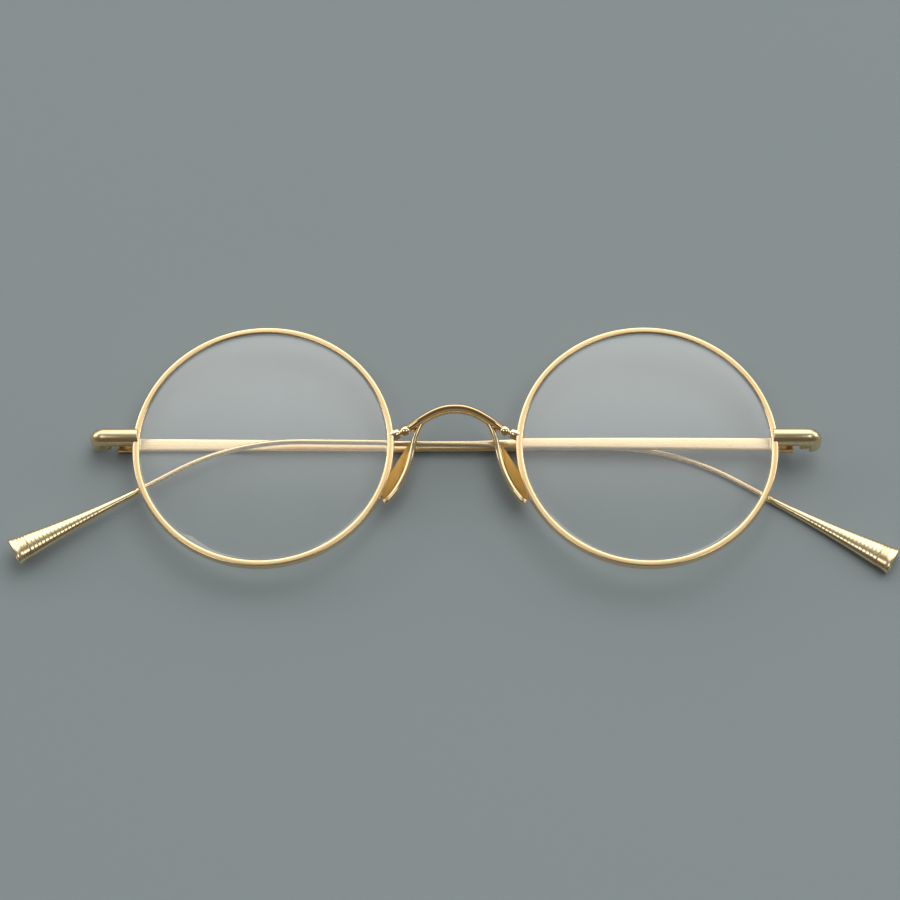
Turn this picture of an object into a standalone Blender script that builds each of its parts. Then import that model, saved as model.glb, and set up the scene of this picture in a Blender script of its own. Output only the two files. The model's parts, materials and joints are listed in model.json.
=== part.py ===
"""Round metal eyeglasses, folded and laid down with the front facing up.

Every piece is modelled in the frame of the front: X runs from the wearer's right rim to
the left one, Y up the face, Z out of the front, with Z = 0 on the rims' middle plane and
Y = 0 on the lens centres. Two pivot empties carry the folded temples, and one empty lays
the whole pair down so that the outer temple rests flat on Z = 0.
"""

import math

import bmesh
import bpy
from mathutils import Matrix, Vector

MM = 0.001

# Overall sizes
LENS_DIAMETER = 46.0 * MM
BRIDGE_GAP = 24.0 * MM  # between the two lenses, edge to edge
TEMPLE_LENGTH = 148.5 * MM  # along the temple, from the hinge pin to the tip's end
HINGE_HEIGHT = 1.8 * MM  # of the end pieces above the lens centres
FOLD_TILT = math.radians(0.9)  # each folded temple leans this much out of parallel

# Clearances
BRAZE_GAP = 0.05 * MM  # between pieces that are brazed or seated together
RUNNING_GAP = 0.04 * MM  # between the turning faces of a hinge
BORE_CLEARANCE = 0.06 * MM  # of a bore round its screw, on the radius
HINGE_CLEARANCE = 0.1 * MM  # from a hinge barrel to the end piece round it
LENS_CLEARANCE = 0.08 * MM  # from the lens to its groove, on the radius

# Rims and lenses
RIM_WIDTH = 1.2 * MM
RIM_DEPTH = 1.8 * MM
RIM_CHAMFER = 0.35 * MM
GROOVE_DEPTH = 0.43 * MM
GROOVE_WIDTH = 1.3 * MM
RIM_SLIT = 0.1 * MM
RIM_STEPS = 72
LENS_THICKNESS = 1.6 * MM
LENS_FRONT_CURVE = 130.0 * MM
LENS_EDGE = 1.1 * MM
LENS_LIP = 0.35 * MM  # how far the lens edge rises above its cylindrical land
LENS_STEPS = 60
LENS_RINGS = 4

# End pieces, half-round troughs that turn back at the corners
END_REACH = 8.2 * MM  # of the end pieces outside the rims
TROUGH_HEIGHT = 3.2 * MM
TROUGH_WALL = 0.5 * MM
TROUGH_SIDE = 0.6 * MM  # of straight side wall behind the half-round
TROUGH_BEND = 1.3 * MM
TROUGH_REAR = 3.2 * MM  # how far the corner reaches back
TROUGH_OVERLAP = 0.5 * MM  # over the face of the rim
TROUGH_ARC_POINTS = 10

# Rim locks, inside the end pieces
LOCK_LENGTH = 2.4 * MM
LOCK_SEAT = 0.1 * MM  # from the upper block to the crown of the trough's inside
LOCK_LOWER = 0.7 * MM
LOCK_FRONT = 0.33 * MM
LOCK_SCREW_RADIUS = 0.28 * MM
LOCK_HEAD_RADIUS = 0.5 * MM
LOCK_HEAD_HEIGHT = 0.26 * MM

# Hinges
BARREL_RADIUS = 0.9 * MM
BARREL_STEPS = 20
MIDDLE_BARREL = 0.84 * MM
OUTER_BARREL = 0.8 * MM
WASHER_THICKNESS = 0.1 * MM
HINGE_SCREW_RADIUS = 0.42 * MM
HINGE_HEAD_RADIUS = 0.7 * MM
HINGE_HEAD_HEIGHT = 0.35 * MM
SCREW_EDGE = 0.05 * MM
SLOT_WIDTH = 0.18 * MM
SLOT_DEPTH = 0.16 * MM
LEAF_THICKNESS = 0.5 * MM
LEAF_LENGTH = 3.8 * MM
LEAF_HEIGHT = 2.1 * MM
LEAF_SHOULDER = 0.15 * MM  # from the leaf's end to the riser on it
NECK_HALF = 0.4 * MM
RISER_LENGTH = 1.0 * MM
WEB_SHARE = 0.22  # of the cavity that the front leaf's web fills past the middle
WEB_HEADROOM = 0.08 * MM  # between the web and the inside of the trough
WEB_RECESS = 0.3 * MM  # of the web behind the trough's side walls
ARM_REACH = 0.3 * MM  # of the barrel arms past the pin, towards the front
TIE_MARGIN = 0.08 * MM  # that keeps the ties off the faces of what they join

# Temples
STRIP_RECESS = 0.2 * MM  # of the strip's outer face inside the end piece's crown
STRIP_HEIGHT = 2.5 * MM
STRIP_END_HEIGHT = 1.95 * MM
STRIP_THICKNESS = 0.85 * MM
STRIP_EDGE = 0.12 * MM  # rounding of its butt end
STRIP_CORNER = 0.22 * MM
STRIP_LENGTH = 51.0 * MM
STRIP_TO_WIRE = 7.0 * MM
WIRE_START_DIAMETER = 1.3 * MM
WIRE_TAPER = 15.0 * MM
WIRE_DIAMETER = 1.0 * MM
BEND_START = 92.0 * MM
BEND_RADIUS = 46.0 * MM
BEND_ANGLE = math.radians(29.8)

# Temple tips, flared sleeves pushed over the wires
SLEEVE_LENGTH = 25.5 * MM
SLEEVE_MOUTH = 1.26 * MM
SLEEVE_END_WIDTH = 5.2 * MM
SLEEVE_END_THICKNESS = 3.0 * MM
SLEEVE_FLARE = 1.75  # exponent of the widening
CORE_DIAMETER = 0.6 * MM
CORE_LENGTH = 11.0 * MM
SLEEVE_STATIONS = 10
SLEEVE_SIDES = 20
SLEEVE_LIP = 0.25 * MM
RING_GROOVES = 3
RING_GROOVE_PITCH = 0.7 * MM
RING_GROOVE_DEPTH = 0.1 * MM

# Bridge and nose pads
BRIDGE_RISE = 6.8 * MM  # of the arch's middle above the lens centres
BRIDGE_END_RISE = 3.0 * MM  # of the arch's ends above the lens centres
BRIDGE_FORWARD = 1.5 * MM
FOOT_RISE = 2.55 * MM  # of the feet above the lens centres
BRIDGE_THICKNESS = 1.2 * MM
BRIDGE_DEPTH = 2.0 * MM
BRIDGE_ROUNDING = 0.42 * MM
BRIDGE_END_SLIMMING = 0.3  # share that the arch loses towards its ends
FOOT_HEIGHT = 2.1 * MM
FOOT_LENGTH = 1.15 * MM
NECK_LENGTH = 0.5 * MM  # of the thin stub from the foot to the arch
NECK_RADIUS = 0.42 * MM
FOOT_DEPTH = 1.4 * MM
FOOT_ROUNDING = 0.3 * MM
PAD_THICKNESS = 0.75 * MM
PAD_WIDTH = 5.0 * MM
PAD_SPLAY = math.radians(42.0)
PAD_STEM_WIDTH = 1.1 * MM
PAD_STEM_SHARE = 0.28  # of the pad's length
PAD_ARCH_POINT = 3  # the drawn point of the arch that the stem hangs from
PAD_GAP = 0.08 * MM  # from the stem to the underside of the arch
PAD_FIT_GAP = 24.0 * MM  # the bridge gap that the pads' path is drawn for

# Places that follow from the sizes
LENS_RADIUS = LENS_DIAMETER / 2
LENS_X = LENS_RADIUS + BRIDGE_GAP / 2
RIM_INNER = LENS_RADIUS + LENS_CLEARANCE - GROOVE_DEPTH
RIM_OUTER = RIM_INNER + RIM_WIDTH
FRONT_WIDTH = 2 * (LENS_X + RIM_OUTER + END_REACH)
CROWN = TROUGH_HEIGHT / 2  # the half-round's radius
TROUGH_X = FRONT_WIDTH / 2 - CROWN  # of the turned-back stretch's centreline
PIN_X = TROUGH_X - TROUGH_SIDE - HINGE_CLEARANCE - BARREL_RADIUS
PIN_Z = -(TROUGH_SIDE + HINGE_CLEARANCE + BARREL_RADIUS)
BUTT = TROUGH_REAR + PIN_Z + BRAZE_GAP  # from the pin to the strip's end
STRIP_OUTER = FRONT_WIDTH / 2 - PIN_X - STRIP_RECESS  # from the pin to its outer face
SLEEVE_START = TEMPLE_LENGTH - SLEEVE_LENGTH
LOCK_X = LENS_X + RIM_OUTER + LOCK_LENGTH / 2
CAVITY = CROWN - TROUGH_WALL
LOCK_UPPER = CAVITY - LOCK_SEAT - RIM_SLIT / 2

SIDES = {"right": -1, "left": 1}


# ---------------------------------------------------------------- scene and materials


def clear_scene():
    for obj in list(bpy.data.objects):
        bpy.data.objects.remove(obj, do_unlink=True)


def make_collection(name):
    collection = bpy.data.collections.new(name)
    bpy.context.scene.collection.children.link(collection)
    return collection


def material(name, colour, roughness, metallic, transmission=0.0):
    mat = bpy.data.materials.new(name)
    mat.use_nodes = True
    shader = mat.node_tree.nodes["Principled BSDF"]
    shader.inputs["Base Color"].default_value = (*colour, 1.0)
    shader.inputs["Roughness"].default_value = roughness
    shader.inputs["Metallic"].default_value = metallic
    shader.inputs["Transmission Weight"].default_value = transmission
    return mat


def add_object(name, mesh, mat=None, parent=None, cutter=False):
    obj = bpy.data.objects.new(name, mesh)
    (CUTTERS if cutter else PARTS).objects.link(obj)
    if mat:
        mesh.materials.append(mat)
    if parent:
        obj.parent = parent
    if cutter:
        obj.hide_render = True
        obj.display_type = "WIRE"
    return obj


def add_empty(name, location, turn_y=0.0, parent=None):
    empty = bpy.data.objects.new(name, None)
    PARTS.objects.link(empty)
    empty.location = location
    empty.rotation_euler = (0, turn_y, 0)
    empty.parent = parent
    return empty


# ------------------------------------------------------------------- shape functions


def box(name, low, high, **kwargs):
    """A box between two corners, as an object at its parent's origin."""
    low, high = Vector(low), Vector(high)
    for axis in range(3):
        low[axis], high[axis] = sorted((low[axis], high[axis]))
    bm = bmesh.new()
    bmesh.ops.create_cube(bm, size=1.0)
    bmesh.ops.scale(bm, vec=high - low, verts=bm.verts)
    bmesh.ops.translate(bm, vec=(low + high) / 2, verts=bm.verts)
    return finish_mesh(name, bm, smooth=False, **kwargs)


def cylinder_y(name, radius, low, high, x, z, segments=24, **kwargs):
    """A cylinder along Y between two heights."""
    bm = bmesh.new()
    bmesh.ops.create_cone(
        bm, cap_ends=True, segments=segments, radius1=radius, radius2=radius, depth=high - low
    )
    turn = Matrix.Rotation(math.radians(90), 4, "X")
    bmesh.ops.transform(bm, matrix=turn, verts=bm.verts)
    bmesh.ops.translate(bm, vec=(x, (low + high) / 2, z), verts=bm.verts)
    return finish_mesh(name, bm, **kwargs)


def finish_mesh(name, bm, smooth=True, **kwargs):
    mesh = bpy.data.meshes.new(name)
    bm.to_mesh(mesh)
    bm.free()
    if smooth:
        mesh.shade_smooth()
        mesh.set_sharp_from_angle(angle=math.radians(35))
    return add_object(name, mesh, **kwargs)


def turned(name, profile, steps, x, **kwargs):
    """A profile of (radius, z) points turned round the line through (x, 0)."""
    mesh = bpy.data.meshes.new(name)
    closed = profile[0][0] > 0
    count = len(profile)
    edges = [(i, (i + 1) % count) for i in range(count if closed else count - 1)]
    mesh.from_pydata([(r, 0, z) for r, z in profile], edges, [])
    obj = add_object(name, mesh, **kwargs)
    obj.location = (x, 0, 0)
    screw = obj.modifiers.new("Turn", "SCREW")
    screw.steps = steps
    screw.render_steps = steps
    screw.use_merge_vertices = True
    screw.merge_threshold = 1e-6
    screw.use_smooth_shade = True
    return obj


def boolean(obj, other, operation="DIFFERENCE"):
    mod = obj.modifiers.new(other.name, "BOOLEAN")
    mod.operation = operation
    mod.solver = "EXACT"
    mod.object = other


def loft(name, rings, flip=False, strip_caps=False, **kwargs):
    """A closed skin over rings of equal length, with a face at each end.

    strip_caps closes a channel section, whose second half of points runs back along
    the first half, with a row of quads in place of one concave face.
    """
    bm = bmesh.new()
    rows = [[bm.verts.new(p) for p in ring] for ring in rings]
    count = len(rows[0])
    faces = []
    for near, far in zip(rows, rows[1:]):
        for i in range(count):
            j = (i + 1) % count
            faces.append((near[i], near[j], far[j], far[i]))
    for row, first in ((rows[0], True), (rows[-1], False)):
        if strip_caps:
            caps = [
                (row[i], row[i + 1], row[count - 2 - i], row[count - 1 - i])
                for i in range(count // 2 - 1)
            ]
        else:
            caps = [tuple(row)]
        faces.extend(tuple(reversed(cap)) if first else cap for cap in caps)
    for face in faces:
        bm.faces.new(tuple(reversed(face)) if flip else face)
    return finish_mesh(name, bm, **kwargs)


def rounded_rectangle(half_u, half_v, corner, steps=3):
    """Points (u, v) round a rectangle with rounded corners, counterclockwise."""
    corner = min(corner, half_u, half_v)
    points = []
    for quarter in range(4):
        sign_u = (1, -1, -1, 1)[quarter]
        sign_v = (1, 1, -1, -1)[quarter]
        for i in range(steps + 1):
            angle = math.radians(90) * (quarter + i / steps)
            u = sign_u * (half_u - corner) + corner * math.cos(angle)
            v = sign_v * (half_v - corner) + corner * math.sin(angle)
            points.append((u, v))
    return points


def smooth_path(points, per_span):
    """Points along a Catmull-Rom curve through the given points."""
    ends = [2 * points[0] - points[1], *points, 2 * points[-1] - points[-2]]
    path = []
    for i in range(len(points) - 1):
        a, b, c, d = ends[i : i + 4]
        for k in range(per_span):
            t = k / per_span
            path.append(
                0.5
                * (
                    2 * b
                    + (c - a) * t
                    + (2 * a - 5 * b + 4 * c - d) * t**2
                    + (3 * b - a - 3 * c + d) * t**3
                )
            )
    path.append(points[-1].copy())
    return path


def tangents(path):
    last = len(path) - 1
    return [(path[min(i + 1, last)] - path[max(i - 1, 0)]).normalized() for i in range(last + 1)]


def swept(name, path, sections, up, **kwargs):
    """Sections of (u, v) points set square to a path: v is along up, u across it."""
    rings = []
    for point, along, section in zip(path, tangents(path), sections):
        across = up.cross(along).normalized()
        rise = along.cross(across).normalized()
        rings.append([point + across * u + rise * v for u, v in section])
    return loft(name, rings, flip=False, **kwargs)


# --------------------------------------------------------------------------- the rims


def groove_z(radius):
    """Half width of the lens groove at a radius."""
    share = (RIM_INNER + GROOVE_DEPTH - radius) / GROOVE_DEPTH
    return GROOVE_WIDTH / 2 * share


def make_rim(label, side):
    half = RIM_DEPTH / 2
    chamfer = RIM_CHAMFER
    profile = [
        (RIM_OUTER - chamfer, half),
        (RIM_OUTER, half - chamfer),
        (RIM_OUTER, chamfer - half),
        (RIM_OUTER - chamfer, -half),
        (RIM_INNER + chamfer / 2, -half),
        (RIM_INNER, chamfer / 2 - half),
        (RIM_INNER, -groove_z(RIM_INNER)),
        (RIM_INNER + GROOVE_DEPTH, 0),
        (RIM_INNER, groove_z(RIM_INNER)),
        (RIM_INNER, half - chamfer / 2),
        (RIM_INNER + chamfer / 2, half),
    ]
    rim = turned("rim_" + label, profile, RIM_STEPS, side * LENS_X, mat=RIM_GOLD, parent=FRONT)
    slit = box(
        "rim_slit_" + label,
        (side * (LENS_X + RIM_INNER - RIM_WIDTH), HINGE_HEIGHT - RIM_SLIT / 2, -RIM_DEPTH),
        (side * (LENS_X + RIM_OUTER + RIM_WIDTH), HINGE_HEIGHT + RIM_SLIT / 2, RIM_DEPTH),
        parent=FRONT,
        cutter=True,
    )
    boolean(rim, slit)


def make_lens(label, side):
    land = LENS_RADIUS - LENS_LIP
    half = LENS_EDGE / 2
    apex = half + land**2 / (2 * LENS_FRONT_CURVE)
    back_rise = apex - LENS_THICKNESS + half

    front = []
    back = []
    for i in range(LENS_RINGS):
        r = land * i / LENS_RINGS
        front.append((r, apex - r**2 / (2 * LENS_FRONT_CURVE)))
        back.append((r, -half + back_rise * (1 - (r / land) ** 2)))
    edge = [(land, half), (LENS_RADIUS, 0), (land, -half)]
    profile = [*front, *edge, *reversed(back)]
    turned("lens_" + label, profile, LENS_STEPS, side * LENS_X, mat=CLEAR, parent=FRONT)


def rim_shadow(label, side, back, front):
    """A cutter a little larger than the rim, that copes what is brazed to it."""
    name = "rim_cope_" + label
    if name in bpy.data.objects:
        return bpy.data.objects[name]
    bm = bmesh.new()
    radius = RIM_OUTER + BRAZE_GAP
    bmesh.ops.create_cone(
        bm, cap_ends=True, segments=RIM_STEPS, radius1=radius, radius2=radius, depth=front - back
    )
    bmesh.ops.translate(bm, vec=(side * LENS_X, 0, (back + front) / 2), verts=bm.verts)
    return finish_mesh(name, bm, parent=FRONT, cutter=True)


# -------------------------------------------------------------------- the end pieces


def trough_section():
    """(height, outward) points: round the outside, then back round the inside."""
    outside = [(-CROWN, -TROUGH_SIDE)]
    inside = [(-CAVITY, -TROUGH_SIDE)]
    for i in range(TROUGH_ARC_POINTS + 1):
        angle = math.pi * (1 - i / TROUGH_ARC_POINTS)
        outside.append((CROWN * math.cos(angle), CROWN * math.sin(angle)))
        inside.append((CAVITY * math.cos(angle), CAVITY * math.sin(angle)))
    outside.append((CROWN, -TROUGH_SIDE))
    inside.append((CAVITY, -TROUGH_SIDE))
    return outside + inside[::-1]


def trough_path():
    """(x, z, turn) stations of the trough's centreline: out, round, and back."""
    start = LENS_X + RIM_OUTER - TROUGH_OVERLAP
    corner = TROUGH_X - TROUGH_BEND
    stations = [(start, 0.0, 0.0)]
    steps = 8
    for i in range(steps + 1):
        turn = math.radians(90) * i / steps
        x = corner + TROUGH_BEND * math.sin(turn)
        z = TROUGH_BEND * (math.cos(turn) - 1)
        stations.append((x, z, turn))
    stations.append((TROUGH_X, -TROUGH_REAR, math.radians(90)))
    return stations


def make_end_piece(label, side):
    rings = []
    for x, z, turn in trough_path():
        ring = []
        for height, out in trough_section():
            ring.append(
                (
                    side * (x + out * math.sin(turn)),
                    HINGE_HEIGHT + height,
                    z + out * math.cos(turn),
                )
            )
        rings.append(ring)
    piece = loft(
        "end_piece_" + label,
        rings,
        flip=side > 0,
        strip_caps=True,
        mat=END_PIECE_GOLD,
        parent=FRONT,
    )
    boolean(piece, rim_shadow(label, side, -RIM_DEPTH, RIM_DEPTH / 2 + BRAZE_GAP))
    hole = cylinder_y(
        "lock_access_" + label,
        LOCK_HEAD_RADIUS,
        HINGE_HEIGHT - TROUGH_HEIGHT,
        HINGE_HEIGHT - CAVITY / 2,
        side * LOCK_X,
        lock_z(),
        parent=FRONT,
        cutter=True,
    )
    boolean(piece, hole)


# ------------------------------------------------------------------------- rim locks


def lock_z():
    return (LOCK_FRONT - TROUGH_SIDE) / 2


def make_lock(label, side):
    shadow = rim_shadow(label, side, -RIM_DEPTH, RIM_DEPTH / 2 + BRAZE_GAP)
    start = side * (LENS_X + RIM_OUTER - TROUGH_OVERLAP / 2)
    end = side * (LENS_X + RIM_OUTER + LOCK_LENGTH)
    blocks = {
        "upper": (HINGE_HEIGHT + RIM_SLIT / 2, HINGE_HEIGHT + RIM_SLIT / 2 + LOCK_UPPER),
        "lower": (HINGE_HEIGHT - RIM_SLIT / 2 - LOCK_LOWER, HINGE_HEIGHT - RIM_SLIT / 2),
    }
    screw_x = side * LOCK_X
    bore = cylinder_y(
        "lock_bore_" + label,
        LOCK_SCREW_RADIUS + BORE_CLEARANCE,
        HINGE_HEIGHT - TROUGH_HEIGHT,
        HINGE_HEIGHT + TROUGH_HEIGHT,
        screw_x,
        lock_z(),
        parent=FRONT,
        cutter=True,
    )
    for which, (low, high) in blocks.items():
        block = box(
            "lock_block_" + which + "_" + label,
            (start, low, -TROUGH_SIDE),
            (end, high, LOCK_FRONT),
            mat=LOCK_GOLD,
            parent=FRONT,
        )
        boolean(block, shadow)
        boolean(block, bore)

    seat = blocks["lower"][0] - BRAZE_GAP
    make_screw(
        "lock_screw_" + label,
        screw_x,
        lock_z(),
        seat,
        -1,
        LOCK_SCREW_RADIUS,
        blocks["upper"][1] - seat,
        LOCK_HEAD_RADIUS - BORE_CLEARANCE,
        LOCK_HEAD_HEIGHT,
        FRONT,
    )


def make_screw(name, x, z, seat, head_way, radius, length, head_radius, head_height, parent):
    """A slotted screw along Y: the head on one side of its seat, the shank on the other."""
    bm = bmesh.new()
    profile = [
        (0.0, head_height),
        (head_radius - SCREW_EDGE, head_height),
        (head_radius, head_height - SCREW_EDGE),
        (head_radius, 0.0),
        (radius, 0.0),
        (radius, -length + radius / 2),
        (radius / 2, -length),
        (0.0, -length),
    ]
    points = [bm.verts.new((r, 0, h)) for r, h in profile]
    for a, b in zip(points, points[1:]):
        bm.edges.new((a, b))
    bmesh.ops.spin(
        bm,
        geom=bm.verts[:] + bm.edges[:],
        cent=(0, 0, 0),
        axis=(0, 0, 1),
        angle=math.radians(360),
        steps=20,
        use_merge=True,
    )
    bmesh.ops.remove_doubles(bm, verts=bm.verts, dist=1e-7)
    bmesh.ops.recalc_face_normals(bm, faces=bm.faces)
    turn = Matrix.Rotation(math.radians(-90 * head_way), 4, "X")
    place = Matrix.Translation((x, seat, z)) @ turn
    bmesh.ops.transform(bm, matrix=place, verts=bm.verts)
    screw = finish_mesh(name, bm, mat=SCREW_GOLD, parent=parent)
    top = seat + head_way * head_height
    slot = box(
        name + "_slot",
        (x - head_radius * 2, top - head_way * SLOT_DEPTH, z - SLOT_WIDTH / 2),
        (x + head_radius * 2, top + head_way * SLOT_DEPTH, z + SLOT_WIDTH / 2),
        parent=parent,
        cutter=True,
    )
    boolean(screw, slot)


# ---------------------------------------------------------------------------- hinges


def washer_low():
    return MIDDLE_BARREL / 2 + RUNNING_GAP


def outer_low():
    return washer_low() + WASHER_THICKNESS + RUNNING_GAP


def barrel_outline(side, arm_x, arm_low, arm_high):
    """(x, z) outline round the pin, of a barrel with a straight arm to one side."""
    start = math.asin(arm_high / BARREL_RADIUS)
    end = math.tau + math.asin(arm_low / BARREL_RADIUS)
    outline = [(side * arm_x, arm_low), (side * arm_x, arm_high)]
    for i in range(BARREL_STEPS + 1):
        angle = start + (end - start) * i / BARREL_STEPS
        outline.append((side * BARREL_RADIUS * math.cos(angle), BARREL_RADIUS * math.sin(angle)))
    return outline


def extruded_y(name, outline, low, high, flip, **kwargs):
    """An (x, z) outline drawn out between two heights."""
    rings = [[(x, height, z) for x, z in outline] for height in (low, high)]
    return loft(name, rings, flip=flip, **kwargs)


def make_front_leaf(label, side):
    """Web inside the end piece, with the upper and lower barrels on it."""
    web_x = PIN_X + BARREL_RADIUS + HINGE_CLEARANCE
    web_out = TROUGH_X + CAVITY * WEB_SHARE
    half = CAVITY - WEB_HEADROOM
    arm_low = -BARREL_RADIUS + TIE_MARGIN
    leaf = box(
        "hinge_front_leaf_" + label,
        (side * web_x, HINGE_HEIGHT - half, PIN_Z - BARREL_RADIUS - ARM_REACH),
        (side * web_out, HINGE_HEIGHT + half, -TROUGH_SIDE - WEB_RECESS),
        mat=HINGE_GOLD,
        parent=FRONT,
    )
    outline = [
        (side * PIN_X + x, PIN_Z + z)
        for x, z in barrel_outline(side, BARREL_RADIUS, arm_low, ARM_REACH)
    ]
    for way in (-1, 1):
        name = label + ("_low" if way < 0 else "_high")
        near = HINGE_HEIGHT + way * outer_low()
        far = near + way * OUTER_BARREL
        barrel = extruded_y(
            "barrel_" + name,
            outline,
            min(near, far),
            max(near, far),
            side < 0,
            parent=FRONT,
            cutter=True,
        )
        tie = box(
            "barrel_tie_" + name,
            (side * (PIN_X + BARREL_RADIUS / 2), near + way * TIE_MARGIN, PIN_Z - BARREL_RADIUS / 2),
            (
                side * (web_x + TROUGH_WALL),
                HINGE_HEIGHT + way * (half - TIE_MARGIN),
                PIN_Z + ARM_REACH - TIE_MARGIN,
            ),
            parent=FRONT,
            cutter=True,
        )
        for piece in (tie, barrel):
            boolean(leaf, piece, "UNION")
    bore = cylinder_y(
        "front_leaf_bore_" + label,
        HINGE_SCREW_RADIUS + BORE_CLEARANCE,
        HINGE_HEIGHT - TROUGH_HEIGHT,
        HINGE_HEIGHT + TROUGH_HEIGHT,
        side * PIN_X,
        PIN_Z,
        parent=FRONT,
        cutter=True,
    )
    boolean(leaf, bore)


def make_hinge_screw(label, side):
    top = outer_low() + OUTER_BARREL + RUNNING_GAP
    make_screw(
        "hinge_screw_" + label,
        side * PIN_X,
        PIN_Z,
        HINGE_HEIGHT + top,
        1,
        HINGE_SCREW_RADIUS,
        2 * top,
        HINGE_HEAD_RADIUS,
        HINGE_HEAD_HEIGHT,
        FRONT,
    )


def make_washers(label, side):
    for which, way in (("lower", -1), ("upper", 1)):
        near = HINGE_HEIGHT + way * washer_low()
        far = near + way * WASHER_THICKNESS
        place = (side * PIN_X, PIN_Z)
        washer = cylinder_y(
            "hinge_washer_" + which + "_" + label,
            BARREL_RADIUS - RUNNING_GAP,
            min(near, far),
            max(near, far),
            *place,
            mat=POLYMER,
            parent=FRONT,
        )
        hole = cylinder_y(
            "washer_bore_" + which + "_" + label,
            HINGE_SCREW_RADIUS + BORE_CLEARANCE,
            HINGE_HEIGHT - TROUGH_HEIGHT,
            HINGE_HEIGHT + TROUGH_HEIGHT,
            *place,
            parent=FRONT,
            cutter=True,
        )
        boolean(washer, hole)


def make_temple_leaf(label, side, pivot):
    """Plate under the temple strip, with the middle barrel on a neck.

    Positions are from the pin: along the temple to -side X, outward to -Z.
    """
    plate_out = STRIP_OUTER - STRIP_THICKNESS - BRAZE_GAP
    start = BUTT + HINGE_CLEARANCE
    riser = start + LEAF_SHOULDER
    leaf = box(
        "hinge_temple_leaf_" + label,
        (-side * start, -LEAF_HEIGHT / 2, -plate_out),
        (-side * (start + LEAF_LENGTH), LEAF_HEIGHT / 2, LEAF_THICKNESS - plate_out),
        mat=HINGE_GOLD,
        parent=pivot,
    )
    outline = barrel_outline(-side, riser, -NECK_HALF, NECK_HALF)
    foot = LEAF_THICKNESS / 2 - plate_out
    arm = [(-side * riser, foot), (-side * (riser + RISER_LENGTH), foot)]
    arm.append((-side * (riser + RISER_LENGTH), NECK_HALF))
    half = MIDDLE_BARREL / 2
    barrel = extruded_y(
        "middle_barrel_" + label,
        [outline[0], *arm, *outline[2:]],
        -half,
        half,
        side > 0,
        parent=pivot,
        cutter=True,
    )
    boolean(leaf, barrel, "UNION")
    bore = cylinder_y(
        "middle_bore_" + label,
        HINGE_SCREW_RADIUS + BORE_CLEARANCE,
        -TROUGH_HEIGHT,
        TROUGH_HEIGHT,
        0,
        0,
        parent=pivot,
        cutter=True,
    )
    boolean(leaf, bore)


# --------------------------------------------------------------------------- temples


def temple_station(along):
    """(distance from the pin, height, downward angle) of the centreline at a length."""
    bend_length = BEND_RADIUS * BEND_ANGLE
    if along <= BEND_START:
        return along, 0.0, 0.0
    angle = min((along - BEND_START) / BEND_RADIUS, BEND_ANGLE)
    reach = BEND_START + BEND_RADIUS * math.sin(angle)
    drop = BEND_RADIUS * (1 - math.cos(angle))
    rest = max(along - BEND_START - bend_length, 0.0)
    return reach + rest * math.cos(angle), -drop - rest * math.sin(angle), angle


def temple_ring(side, along, section, outward):
    """Section points (height, outward) set square to the temple at a length."""
    reach, height, angle = temple_station(along)
    ring = []
    for up, out in section:
        ring.append(
            (
                -side * (reach + up * math.sin(angle)),
                height + up * math.cos(angle),
                -(outward + out),
            )
        )
    return ring


def bend_lengths(steps=10):
    return [BEND_START + BEND_RADIUS * BEND_ANGLE * i / steps for i in range(steps + 1)]


def make_temple(label, side, pivot):
    """Flat strip that is drawn down to a wire, bent, and thinned into the tip."""
    strip_half = STRIP_THICKNESS / 2
    strip_centre = STRIP_OUTER - strip_half
    wire_half = WIRE_DIAMETER / 2
    wire_centre = STRIP_OUTER - wire_half
    core_half = CORE_DIAMETER / 2
    start_half = WIRE_START_DIAMETER / 2
    stations = [
        (BUTT, STRIP_HEIGHT / 2 - STRIP_EDGE, strip_half - STRIP_EDGE, STRIP_CORNER, strip_centre),
        (BUTT + STRIP_EDGE, STRIP_HEIGHT / 2, strip_half, STRIP_CORNER, strip_centre),
        (STRIP_LENGTH, STRIP_END_HEIGHT / 2, strip_half, STRIP_CORNER, strip_centre),
        (STRIP_LENGTH + STRIP_TO_WIRE, start_half, wire_half, wire_half, wire_centre),
    ]
    sleeve_mouth = SLEEVE_START - BRAZE_GAP
    wire = [STRIP_LENGTH + STRIP_TO_WIRE + WIRE_TAPER, *bend_lengths(), sleeve_mouth]
    core = [sleeve_mouth + BRAZE_GAP / 2, SLEEVE_START + CORE_LENGTH]
    stations += [(s, wire_half, wire_half, wire_half, wire_centre) for s in wire]
    stations += [(s, core_half, core_half, core_half, wire_centre) for s in core]
    rings = []
    for along, half_height, half_out, round_off, outward in stations:
        section = rounded_rectangle(half_height, half_out, round_off)
        rings.append(temple_ring(side, along, section, outward))
    loft("temple_" + label, rings, flip=side < 0, mat=TEMPLE_GOLD, parent=pivot)


def sleeve_size(share):
    """Half width, half thickness and outward place of the sleeve, by share of its length."""
    flare = share**SLEEVE_FLARE
    half_width = (SLEEVE_MOUTH + (SLEEVE_END_WIDTH - SLEEVE_MOUTH) * flare) / 2
    half_out = (SLEEVE_MOUTH + (SLEEVE_END_THICKNESS - SLEEVE_MOUTH) * flare) / 2
    outward = STRIP_OUTER - half_out
    if share == 0:
        return half_width, half_out, STRIP_OUTER - WIRE_DIAMETER / 2
    return half_width, half_out, min(outward, STRIP_OUTER - WIRE_DIAMETER / 2)


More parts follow.
